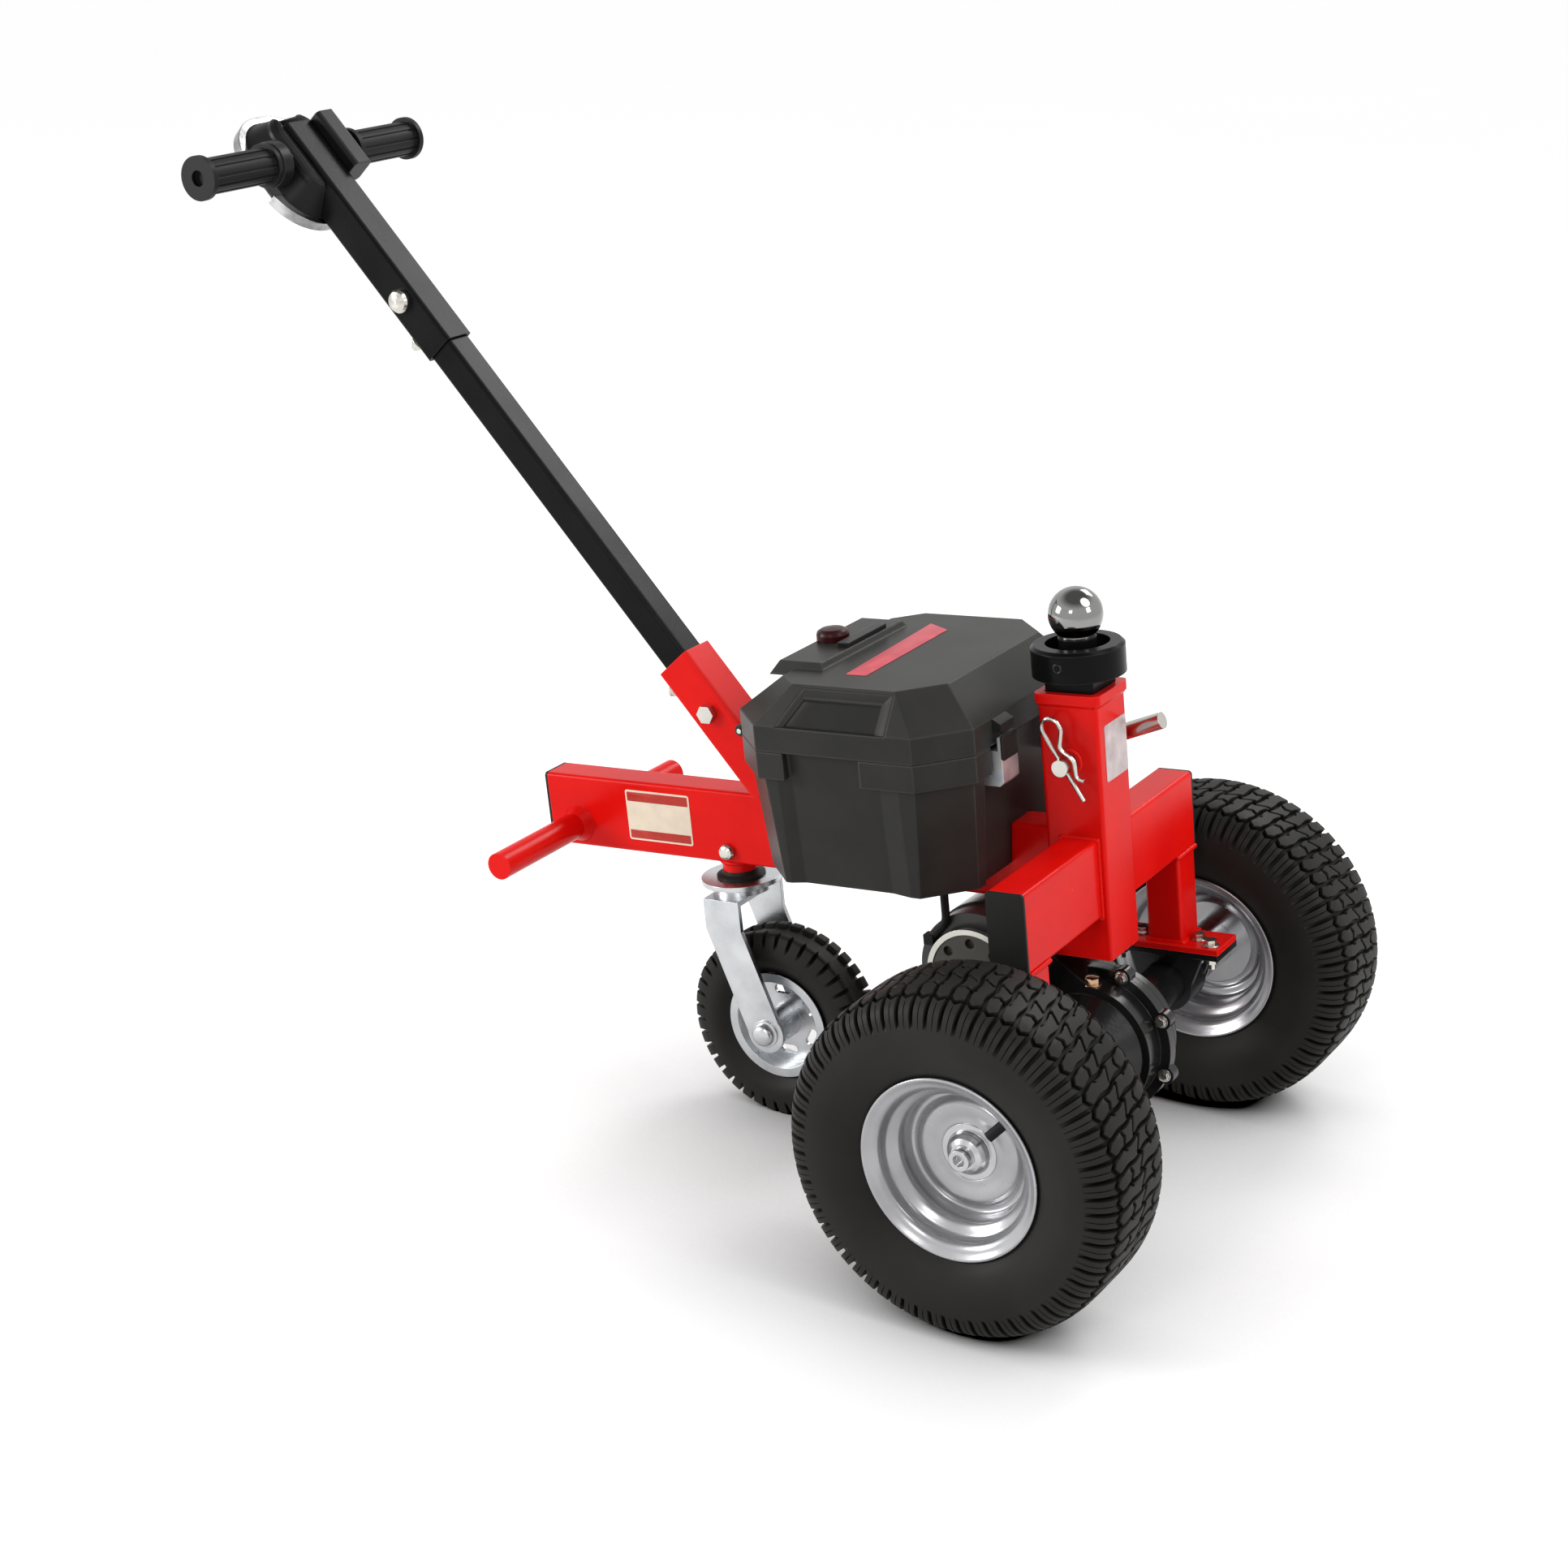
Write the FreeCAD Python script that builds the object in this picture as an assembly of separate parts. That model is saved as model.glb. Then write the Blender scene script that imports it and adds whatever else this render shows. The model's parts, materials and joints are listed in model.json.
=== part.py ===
"""Electric trailer dolly: two driven wheels, a rear caster, a battery case and a ball hitch.

Every piece is drawn in the chassis frame: origin on the drive axle, +X forward to the hitch,
+Y to the left, +Z up, main tube level. At the end the whole machine is leaned back by the small
angle at which the caster and both drive tyres touch the floor together.
"""
import FreeCAD, Part
import math
import os

os.makedirs("parts", exist_ok=True)

Vector = FreeCAD.Vector
ORIGIN = Vector(0, 0, 0)
X_AXIS = Vector(1, 0, 0)
Y_AXIS = Vector(0, 1, 0)
Z_AXIS = Vector(0, 0, 1)
MITRE = 2 - math.sqrt(2)      # how fast a 45 degree corner cut shrinks as its outline is inset

# ---- driving dimensions, millimetres and degrees --------------------------------------------

# Drive wheels: 13 inch turf tyres on 6 inch steel rims
drive_radius = 165.0          # floor to axle, out to the tips of the lugs
drive_tyre_width = 120.0
drive_facets = 32             # flats round the tyre, two shoulder ribs on each
rib_share = 0.7               # part of each pitch that the rib fills, the rest is groove
drive_wheel_clearance = 18.4  # between the cap on an arm's end and the tyre
drive_bulge_radius = 118.0    # where the sidewall is widest
drive_rib_foot = 139.0        # the shoulder ribs start at this radius
drive_shoulder_radius = 156.0
drive_crown_half = 35.0       # half of the width of the crown
drive_groove_depth = 5.0      # of the slanted grooves across the crown
drive_bead_radius = 76.0
drive_flange_radius = 87.0
drive_rim_width = 97.0
drive_tyre_wall = 8.0
bead_gap = 0.4                # between a tyre's bead and the barrel of its rim
drive_rim_wall = 3.0
drive_disc_offset = 8.0       # the rim's disc stands this far outside the middle plane
rim_groove_depth = 4.0        # ring groove between the disc and the barrel
rim_groove_radius = 53.0      # its inner side
rim_groove_slope = 3.0
drive_shaft_radius = 12.5
hub_radius = 27.0
hub_flange_radius = 48.0
hub_flange_thickness = 8.0
hub_cap_radius = 21.0
hub_cap_height = 11.0
hub_nose_radius = 10.0
hub_nose_height = 8.6         # stands out beyond the cap
hub_bore_radius = 5.5
hub_bore_depth = 6.0
hub_gap = 6.0                 # between the end of the axle tube and the hub
running_gap = 0.08            # radial clearance of every shaft that turns

# Steel box frame
tube_wall = 3.0
tube_corner = 4.0
main_width = 38.0
main_height = 77.0
main_bottom = 139.0           # underside of the main tube above the axle
main_rear = -618.0
cap_thickness = 3.0
post_size = 60.0
post_wall = 5.0
post_inner_corner = 3.0       # corners of the socket and of the bar in it
post_centre_x = 1.5
post_bottom = 93.0
post_top = 350.0
post_lip = 3.0                # the lip stands out this far all round
post_lip_height = 9.0
post_lip_flare = 4.0          # height over which the wall swells out below the lip
arm_depth = 38.0
arm_height = 77.0
arm_centre_x = 5.4
arm_bottom = 135.0
arm_half_length = 176.0
leg_size = 38.0
plate_top = 46.0
plate_thickness = 6.0
plate_width = 46.0            # from the leg's outer face inward
plate_front = 64.0            # ahead of the axle
plate_rear = 56.0             # behind the axle
plate_bolt_inset = 11.5       # outer bolts, from the plate's inner edge and its ends
plate_bolt_step_x = 18.0      # the second bolt of each pair stands this much nearer the leg
plate_bolt_step_y = 12.0
plate_bolt_size = 11.0        # across flats
plate_bolt_head = 6.5
plate_bolt_radius = 3.5
plate_bolt_end = 6.0          # bolt end below its nut
lift_bar_radius = 14.0
lift_bar_inset = 34.0         # from the rear end of the main tube
lift_bar_z = 163.5
lift_bar_half_length = 155.0
weld_collar_radius = 20.0
weld_collar_length = 9.0

# Axle, gear case and motor
axle_tube_radius = 22.0
axle_tube_end = 190.0
bracket_width = 34.0          # over both cheeks
bracket_cheek = 6.0           # thickness of each cheek and of the top flange
bracket_top_inset = 20.0      # the cheeks start this far inside the plate's ends
bracket_foot = 40.0           # length of the bracket's lower end along X
bracket_eye = 8.0             # wall of the eye round the axle tube
gear_radius = 64.0
gear_half_width = 30.0
gear_flange_radius = 74.0
gear_flange_thickness = 12.0
gear_ear_radius = 9.0         # ears of the flange, each for one bolt
gear_ear_circle = 72.0
gear_ears = 8
gear_web_share = 0.85         # half height of the web to the motor, from the radii it joins
gear_shoulder = 8.0           # radius lost where the drum steps into its dome
gear_dome_length = 34.0
gear_neck_radius = 31.0
gear_socket = 20.0            # depth to which each axle tube sits in the case
half_shaft_entry = 25.0       # the half shafts start this much deeper than the tubes end
motor_x = -98.0
motor_z = 74.0
motor_radius = 63.0
motor_step = 2.0              # the can is this much smaller than its seat
motor_near_end = -56.0        # where the can stops and the end bell starts
bell_radius = 42.6
bell_length = 7.0
bell_groove = 4.0
bell_neck = 5.0               # radius lost in the groove behind the bell
bell_holes = 8
bell_hole_radius = 5.0
bell_hole_circle = 34.0
bell_hole_depth = 5.0
band_gap = 0.4                # between the bell and the band round it
band_thickness = 5.4
band_offset = 2.0             # the band starts this far in front of the groove
band_width = 6.0
terminal_size = 10.0          # block on the can's face that takes the lead
terminal_x = -144.0
terminal_z = 106.0
lead_radius = 4.0
lead_x = -125.0               # where the lead leaves the case's floor
lead_turn_z = 125.0           # it bends to the terminal at this height
lead_bend = 16.0

# Handle
handle_angle = 51.5           # above the main tube
handle_foot_x = -335.0        # where the handle's axis meets the top of the main tube
socket_size = 44.0
socket_wall = 4.0
socket_length = 168.0         # along the handle's axis, above the main tube
socket_bolt_from_top = 62.0
socket_clamp_from_top = 18.0
lower_tube_size = 32.0
lower_tube_wall = 2.5
upper_tube_size = 38.0
upper_tube_start = 566.0      # along the handle's axis
upper_tube_end = 846.0
tube_overlap = 60.0           # the lower tube goes this far into the upper one
slide_gap = 0.3               # between the two tubes
clamp_inset = 28.0            # clamp bolt, from the upper tube's lower end
knob_inset = 64.0             # knob, from the same end
knob_radius = 12.0
knob_height = 10.0
large_bolt = 17.0             # across flats
small_bolt = 13.0
bolt_head_height = 8.0
tube_bolt_rise = 13.0         # bolt above the caster, from the underside of the main tube
bar_station = 814.0           # the handlebar's place along the handle's axis
bar_radius = 11.0
bar_half_length = 152.0
grip_end = 8.0                # rubber beyond the end of the bar
grip_length = 100.0
grip_radius = 18.0
grip_flange_radius = 22.0
grip_flange_thickness = 6.0
grip_flutes = 12
grip_flute_width = 3.0
grip_flute_depth = 1.5
grip_recess_radius = 8.0
grip_recess_depth = 6.0
console_half_width = 46.0
console_half_length = 62.0    # along the handle's axis
console_corner = 38.0
console_edge = 10.0           # rounding of the housing's edges
console_edge_steps = 4
console_waist = 12.0          # its upper side is this much narrower all round, down to the guard
console_top = 14.0            # reaches this far past the handle's axis, upper side
console_bottom = 38.0         # and this far on the underside
guard_half_length = 69.5      # chrome guard round the console, along the handle
guard_half_width = 58.0
guard_bar = 14.0              # width of the guard's strip
guard_corner = 52.0
guard_thickness = 11.0
guard_level = 19.0            # its upper face, below the handle's axis
guard_gap = 24.0              # half of the opening that lets the grips through
throttle_radius = 23.0        # collar between the near grip and the housing
switch_start = 777.0          # switch box on the far side, along the handle's axis
switch_end = 846.0
switch_side = 46.0
switch_width = 26.0
switch_top = 30.0             # stands up this far from the handle's axis

# Battery case
case_front = -58.0
case_rear = -302.0
case_half_width = 143.0
case_bottom = 177.0
case_seam = 310.0
case_wall = 4.0
case_corner = 40.0            # the corners are cut off by this much
case_taper = 9.0              # each side leans in by this much from seam to floor
case_panel_depth = 5.0        # the side panels lie this far behind the corner posts
rear_post_end = -247.0        # along X, where the thicker rear corner posts stop
rear_post_bevel = 14.0        # width of the sloping face from post to panel
front_post_end = -117.0
front_post_bevel = 22.0
end_panel_half = 81.0         # half width of the panels on the front and the back
end_panel_bevel = 5.0
case_collar_height = 26.0     # thick collar blocks on the corners, below the seam
rear_collar_end = -235.0      # along X
front_collar_end = -153.0
collar_end_y = 77.0           # where they stop on the front and the back
case_saddle_gap = 1.0         # around the main tube
lid_rim_height = 25.0
lid_rise = 36.0
lid_inset_front = 32.0        # top face inside the rim
lid_inset_rear = 51.0
lid_inset_side = 22.0
lid_corner_front = 36.0       # corners cut off the top face
lid_corner_rear = 25.0
lid_overhang = 4.0
lid_gap = 0.6                 # between the lid and the case, closed
lid_hinge_back = 8.0          # the hinge line lies this far behind the lid
lid_recess_depth = 3.5        # recess in each side slope
lid_recess_top_rear = -218.0  # ends of its upper and lower edge, along X
lid_recess_top_front = -121.0
lid_recess_low_rear = -241.0
lid_recess_low_front = -123.0
lid_recess_head = 0.94        # its upper edge, as a share of the slope
lid_boss_rear = -278.0        # raised pad at the rear of the lid, along X
lid_boss_front = -225.0
lid_boss_half_width = 80.0
lid_boss_height = 6.0
lid_boss_edge = 4.0           # its sides slope in by this much
lid_pull_rear = -241.0        # black pull at the pad's front edge
lid_pull_front = -229.0
lid_pull_right = -25.0
lid_pull_left = 47.0
lid_pull_height = 5.0
button_x = -261.0
button_radius = 16.0
button_height = 12.0
button_crown = 3.0            # height of its domed top
hinge_y = 78.0                # between the two knuckles of each hinge
hinge_knuckle = 18.0          # length of a knuckle
hinge_radius = 6.0
hinge_pin_radius = 2.5
hinge_side_gap = 0.5
latch_y = 58.0                # two latches on the front, this far from the middle
latch_width = 30.0
latch_body = 9.0              # the bodies stand out this far ahead of the case
lever_thickness = 4.0
latch_bottom = 39.0           # lower end of the lever, below the seam
latch_body_top = 5.0          # top of the latch's body, below the seam
lever_top = 8.0               # upper end of the lever, above the seam
latch_chamfer = 4.0           # of the lever's lower edge
catch_gap = 5.0               # between the lever and the lid's catch
catch_height = 12.0
catch_out = 9.0               # the catch stands out this far from the lid
catch_slope = 5.0
catch_width = 26.0
battery_length = 178.0
battery_width = 77.0
battery_headroom = 31.6       # between a battery and the lid's roof
battery_gap = 2.0             # between a battery and the saddle

# Ball hitch
mount_bar_size = 49.0
mount_bar_top = 363.0
mount_bar_bottom = 232.0
collar_radius = 43.5
collar_bore = 30.0
collar_height = 29.0
collar_chamfer = 3.0
ball_radius = 25.4
ball_centre_z = 418.0
ball_neck_radius = 17.0
ball_seat_gap = 3.0           # between the ball's seat and the collar's bore
ball_seat_height = 9.0
pin_radius = 8.0
pin_z = 286.0
pin_near_end = -52.0
pin_far_end = 46.0
pin_arm_length = 62.0
pin_arm_rise = 20.0           # degrees above level
pin_bend = 13.0
clip_wire_radius = 2.0
clip_inset = 8.0              # from the pin's near end
clip_slant = 59.4             # its straight leg rises at this angle, leaning back
clip_leg_down = 37.0          # length of the straight leg below the pin's axis
clip_leg_up = 45.0            # and above it, to the round end
clip_bow = 9.0                # radius of the round end
clip_shoulder = 30.0          # along the leg, where the bent side turns in
clip_waist = 15.0             # where it comes nearest to the straight leg
clip_waist_gap = 5.5
clip_hump = 13.5              # how far out it goes round the pin
clip_tail = 21.0
clip_tail_out = 11.0

# Caster
caster_radius = 100.0         # 200 mm pneumatic tyre
caster_tyre_width = 50.0
caster_bead_radius = 50.0
caster_flange_radius = 57.0
caster_bulge_radius = 76.0
caster_knob_foot = 84.0       # the shoulder knobs start at this radius
caster_knob_half = 19.0       # from the middle to the knobs' outer top edge
caster_crown_half = 9.0       # from the middle to their inner edge
caster_crown_drop = 4.0       # the crown between the knobs lies this much lower
caster_rim_width = 40.0
caster_tyre_wall = 6.0
caster_rim_wall = 2.5
caster_swivel_x = -398.0
caster_trail = 38.0
caster_axle_z = -33.0
caster_axle_radius = 7.0
caster_hub_radius = 18.0
caster_facets = 20            # flats round the tyre, two knobs on each
caster_windows = 6            # rounded openings in the rim's disc
window_circle = 33.0
window_length = 20.0
window_width = 9.0
caster_disc_thickness = 4.0
caster_bolt_size = 19.0       # across flats
caster_bolt_head = 8.0
swivel_disc_radius = 41.0
swivel_disc_thickness = 5.0
swivel_disc_top = 121.0
swivel_race_radius = 31.0
race_gap = 0.5                # between the fixed disc and the race
fork_crown_top = 107.0
fork_thickness = 5.0
fork_width = 42.0
fork_inner_half = 37.0
fork_bend_drop = 32.0         # the legs run straight down this far, then slant to the axle
kingpin_radius = 8.0
kingpin_end = 4.0             # below the fork's crown
boss_inset = 1.0              # the boss under the tube is this much narrower than the tube
caster_hub_gap = 1.0          # between the hub and each leg of the fork

# ---- sizes worked out from those above ------------------------------------------------------

drive_wheel_y = arm_half_length + cap_thickness + drive_wheel_clearance + drive_tyre_width / 2
main_top = main_bottom + main_height
main_middle_z = main_bottom + main_height / 2
post_half = post_size / 2
lift_bar_x = main_rear + lift_bar_inset
post_rear = post_centre_x - post_half
arm_middle_z = arm_bottom + arm_height / 2
leg_centre_y = arm_half_length - leg_size / 2
plate_bottom = plate_top - plate_thickness
plate_inner_y = arm_half_length - plate_width
motor_distance = math.hypot(motor_x, motor_z)
gear_end = gear_half_width + gear_dome_length
caster_axle_x = caster_swivel_x + caster_trail
hinge_x = case_rear - lid_overhang - lid_hinge_back
hinge_z = case_seam + lid_gap
lid_low = case_seam + lid_gap
lid_rim_top = lid_low + lid_rim_height
lid_top = lid_rim_top + lid_rise
boss_top = lid_top + lid_boss_height
slope = math.radians(handle_angle)
handle_direction = Vector(-math.cos(slope), 0, math.sin(slope))
handle_under = Vector(-math.sin(slope), 0, -math.cos(slope))
handle_foot = Vector(handle_foot_x, 0, main_top)

# Lean of the machine: the caster's axle ends up one caster radius above the floor
reach = math.hypot(caster_axle_x, caster_axle_z)
lean = math.asin((drive_radius - caster_radius) / reach) - math.atan2(-caster_axle_z, -caster_axle_x)

pieces = {}


# ---- helpers --------------------------------------------------------------------------------

def block(x0, x1, y0, y1, z0, z1):
    """A box between two corners."""
    return Part.makeBox(x1 - x0, y1 - y0, z1 - z0, Vector(x0, y0, z0))


def rod(radius, start, end):
    """A round bar from one point to another."""
    direction = end - start
    return Part.makeCylinder(radius, direction.Length, start, direction)


def ring(outer, inner, start, end):
    """A round tube from one point to another."""
    return rod(outer, start, end).cut(rod(inner, start, end))


def rounded_rectangle(width, height, radius):
    """A closed wire around the origin in the XY plane, with round corners."""
    w, h = width / 2, height / 2
    bulge = radius * (1 - math.sqrt(0.5))
    edges = []
    corners = [(1, 1), (-1, 1), (-1, -1), (1, -1)]
    for index, (sx, sy) in enumerate(corners):
        first = Vector(sx * w, sy * (h - radius), 0)
        last = Vector(sx * (w - radius), sy * h, 0)
        if sx * sy < 0:
            first, last = last, first
        middle = Vector(sx * (w - bulge), sy * (h - bulge), 0)
        edges.append(Part.Arc(first, middle, last).toShape())
        nx, ny = corners[(index + 1) % 4]
        if sx == nx:
            follow = Vector(nx * w, ny * (h - radius), 0)
        else:
            follow = Vector(nx * (w - radius), ny * h, 0)
        edges.append(Part.LineSegment(last, follow).toShape())
    return Part.Wire(edges)


def bar(width, height, length, radius, wall=0.0):
    """A straight bar or box tube along +Z, width along X and height along Y."""
    solid = Part.Face(rounded_rectangle(width, height, radius)).extrude(Vector(0, 0, length))
    if wall:
        inner_radius = max(radius - wall, 0.2 * radius)
        hole = Part.Face(rounded_rectangle(width - 2 * wall, height - 2 * wall, inner_radius))
        solid = solid.cut(hole.extrude(Vector(0, 0, length)))
    return solid


def moved(shape, base, x_dir, z_dir):
    """The shape with its own X and Z laid along the given directions, at the given place."""
    turn = FreeCAD.Rotation(x_dir, z_dir.cross(x_dir), z_dir, "ZXY")
    copy = shape.copy()
    copy.Placement = FreeCAD.Placement(base, turn).multiply(copy.Placement)
    return copy


def handle_point(station, side=0.0, under=0.0):
    """A point by its distance along the handle, across it, and towards its underside."""
    return handle_foot + handle_direction * station + Y_AXIS * side + handle_under * under


def spun(points, centre, axis):
    """A solid of revolution. Points are (radius, place along the axis)."""
    across = Z_AXIS if abs(axis.z) < 0.5 else X_AXIS
    corners = [centre + across * r + axis * a for r, a in points]
    face = Part.Face(Part.makePolygon(corners + corners[:1]))
    return face.revolve(centre, axis, 360)


def prism(corners, direction):
    """A flat outline of points made thick along a direction."""
    return Part.Face(Part.makePolygon(corners + corners[:1])).extrude(direction)


def profile(points, depth, y_start):
    """A plate: an outline of (x, z) points, made thick along +Y."""
    return prism([Vector(x, y_start, z) for x, z in points], Vector(0, depth, 0))


def mirrored(shape):
    """The same piece on the other side of the machine."""
    return shape.mirror(ORIGIN, Y_AXIS)


def both(shape):
    """The piece and its mirror image as one."""
    return Part.makeCompound([shape, mirrored(shape)])


def sides(shape):
    """Left and right copies of a piece drawn on the left."""
    return (("left", shape), ("right", mirrored(shape)))


def hex_head(across_flats, height, base, direction):
    """A six-sided bolt head or nut."""
    radius = across_flats / math.sqrt(3)
    corners = [Vector(radius * math.cos(k * math.pi / 3), radius * math.sin(k * math.pi / 3), 0)
               for k in range(6)]
    x_dir = Y_AXIS if abs(direction.y) < 0.5 else X_AXIS
    return moved(prism(corners, Vector(0, 0, height)), base, x_dir, direction)


def domed_head(radius, height, base, direction):
    """A round bolt head or knob with a rounded top."""
    section = [(0, 0), (radius, 0), (radius, 0.45 * height), (0.85 * radius, 0.75 * height),
               (0.5 * radius, 0.95 * height), (0, height)]
    return spun(section, base, direction)


def bent_rod(radius, points, bends):
    """A round bar through the points, each inner corner bent to its own radius."""
    runs = []
    start = points[0]
    for before, corner, after, bend in zip(points, points[1:], points[2:], bends):
        arriving = (corner - before).normalize()
        leaving = (after - corner).normalize()
        turn = arriving.getAngle(leaving)
        setback = bend * math.tan(turn / 2)
        end = corner - arriving * setback
        if (end - start).Length > 0.01:
            runs.append(rod(radius, start, end))
        axis = arriving.cross(leaving).normalize()
        section = Part.Face(Part.Wire(Part.makeCircle(radius, end, arriving)))
        runs.append(section.revolve(end + axis.cross(arriving) * bend, axis, math.degrees(turn)))
        start = corner + leaving * setback
    runs.append(rod(radius, start, points[-1]))
    return runs[0].fuse(runs[1:]).removeSplitter()


def bend_points(before, corner, after, bend, steps):
    """Points along the arc that rounds a corner of a path."""
    arriving = (corner - before).normalize()
    leaving = (after - corner).normalize()
    turn = arriving.getAngle(leaving)
    axis = arriving.cross(leaving).normalize()
    start = corner - arriving * (bend * math.tan(turn / 2))
    centre = start + axis.cross(arriving) * bend
    return [centre + FreeCAD.Rotation(axis, math.degrees(turn) * k / steps).multVec(start - centre)
            for k in range(steps + 1)]


def flat_sided_wire(radius, points, normal):
    """A thin eight-sided wire along a path that lies in one plane, mitred at every point."""
    rings = []
    for index, point in enumerate(points):
        arriving = (point - points[max(index - 1, 0)])
        leaving = (points[min(index + 1, len(points) - 1)] - point)
        arriving = (arriving if arriving.Length else leaving).normalize()
        leaving = (leaving if leaving.Length else arriving).normalize()
        across = normal.cross(arriving + leaving).normalize()
        stretch = radius / math.cos(arriving.getAngle(leaving) / 2)
        rings.append([point + across * (stretch * math.cos(k * math.pi / 4))
                      + normal * (radius * math.sin(k * math.pi / 4)) for k in range(8)])
    faces = [Part.Face(Part.makePolygon(end + end[:1])) for end in (rings[0], rings[-1])]
    for low, high in zip(rings, rings[1:]):
        for k in range(8):
            corners = [low[k], low[(k + 1) % 8], high[(k + 1) % 8], high[k]]
            faces.append(Part.Face(Part.makePolygon(corners + corners[:1])))
    shell = Part.makeShell(faces)
    shell.sewShape()
    return Part.makeSolid(shell)


# ---- frame ----------------------------------------------------------------------------------

def make_main_tube():
    """The long box tube from the post back under the case, with holes for the lift bar."""
    length = post_rear - main_rear
    tube = bar(main_width, main_height, length, tube_corner, tube_wall)
    tube = moved(tube, Vector(main_rear, 0, main_middle_z), Y_AXIS, X_AXIS)
    hole = rod(lift_bar_radius, Vector(lift_bar_x, -main_width, lift_bar_z),
               Vector(lift_bar_x, main_width, lift_bar_z))
    pieces["main_tube"] = tube.cut(hole)


def make_tube_caps():
    """Plastic caps that close the rear of the main tube and the ends of the cross arms."""
    rear = bar(main_width, main_height, cap_thickness, tube_corner)
    rear = moved(rear, Vector(main_rear - cap_thickness, 0, main_middle_z), Y_AXIS, X_AXIS)
    side = bar(arm_depth, arm_height, cap_thickness, tube_corner)
    side = moved(side, Vector(arm_centre_x, arm_half_length, arm_middle_z), X_AXIS, Y_AXIS)
    pieces["rear_cap"] = rear
    pieces["arm_caps"] = both(side)


def make_lift_bar():
    """A round bar through the main tube's rear end, with weld collars on both faces."""
    half = main_width / 2
    solid = rod(lift_bar_radius, Vector(lift_bar_x, -lift_bar_half_length, lift_bar_z),
                Vector(lift_bar_x, lift_bar_half_length, lift_bar_z))
    for sign in (1, -1):
        near = Vector(lift_bar_x, sign * half, lift_bar_z)
        collar = Part.makeCone(weld_collar_radius, lift_bar_radius, weld_collar_length,
                               near, Y_AXIS * sign)
        solid = solid.fuse(collar)
    pieces["lift_bar"] = solid.removeSplitter()


def make_post():
    """The upright square receiver, swelling at its mouth into a thick lip."""
    height = post_top - post_bottom
    lip_foot = height - post_lip_height
    lip_size = post_size + 2 * post_lip
    lip_corner = tube_corner + post_lip
    low = rounded_rectangle(post_size, post_size, tube_corner)
    low.translate(Vector(0, 0, lip_foot - post_lip_flare))
    high = rounded_rectangle(lip_size, lip_size, lip_corner)
    high.translate(Vector(0, 0, lip_foot))
    lip = bar(lip_size, lip_size, post_lip_height, lip_corner)
    lip.translate(Vector(0, 0, lip_foot))
    post = bar(post_size, post_size, height, tube_corner)
    post = post.fuse([Part.makeLoft([low, high], True, True), lip])
    inside = post_size - 2 * post_wall
    post = post.cut(bar(inside, inside, height, post_inner_corner)).removeSplitter()
    post.translate(Vector(post_centre_x, 0, post_bottom))
    hole = rod(pin_radius + running_gap, Vector(post_centre_x, -post_size, pin_z),
               Vector(post_centre_x, post_size, pin_z))
    pieces["post"] = post.cut(hole)


def make_arms_and_legs():
    """Cross arms welded to the post, the legs under their ends and the feet of the legs."""
    arm = bar(arm_depth, arm_height, arm_half_length - post_half, tube_corner, tube_wall)
    arm = moved(arm, Vector(arm_centre_x, post_half, arm_middle_z), X_AXIS, Y_AXIS)
    leg = bar(leg_size, leg_size, arm_bottom - plate_top, tube_corner, tube_wall)
    leg.translate(Vector(arm_centre_x, leg_centre_y, plate_top))
    plate = block(-plate_rear, plate_front, plate_inner_y, arm_half_length, plate_bottom, plate_top)
    for name, drawn in (("cross_arm", arm), ("leg", leg), ("base_plate", plate)):
        for side, shape in sides(drawn):
            pieces[f"{name}_{side}"] = shape


def make_axle_brackets():
    """Brackets under the base plates: a flange, two slant-sided cheeks and an eye for the tube."""
    flange_low = plate_bottom - bracket_cheek
    flange = block(-plate_rear, plate_front, plate_inner_y, arm_half_length, flange_low, plate_bottom)
    eye_radius = axle_tube_radius + bracket_eye
    outline = [(-plate_rear + bracket_top_inset, flange_low), (-bracket_foot / 2, -axle_tube_radius),
               (bracket_foot / 2, -axle_tube_radius), (plate_front - bracket_top_inset, flange_low)]
    start = leg_centre_y - bracket_width / 2
    end = start + bracket_width
    bracket = flange.fuse([profile(outline, bracket_cheek, start),
                           profile(outline, bracket_cheek, end - bracket_cheek),
                           rod(eye_radius, Vector(0, start, 0), Vector(0, end, 0))])
    bore = rod(axle_tube_radius, Vector(0, start - 1, 0), Vector(0, end + 1, 0))
    for side, shape in sides(bracket.cut(bore).removeSplitter()):
        pieces[f"axle_bracket_{side}"] = shape


def make_frame_bolts():
    """Two bolts ahead of each leg and two behind it, through the base plate and the bracket."""
    flange_low = plate_bottom - bracket_cheek
    outer_y = plate_inner_y + plate_bolt_inset
    bolts = []
    for end_x, sign in ((plate_front, 1), (-plate_rear, -1)):
        outer_x = end_x - sign * plate_bolt_inset
        for x, y in ((outer_x, outer_y), (outer_x - sign * plate_bolt_step_x, outer_y + plate_bolt_step_y)):
            bolts.append(hex_head(plate_bolt_size, plate_bolt_head, Vector(x, y, plate_top), Z_AXIS))
            nut = hex_head(plate_bolt_size, plate_bolt_head, Vector(x, y, flange_low), -Z_AXIS)
            end = Vector(x, y, flange_low - plate_bolt_head - plate_bolt_end)
            bolts.append(nut.fuse(rod(plate_bolt_radius, Vector(x, y, flange_low), end)))
    pieces["frame_bolts"] = both(Part.makeCompound(bolts))


# ---- gear case, axle and motor --------------------------------------------------------------

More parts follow.
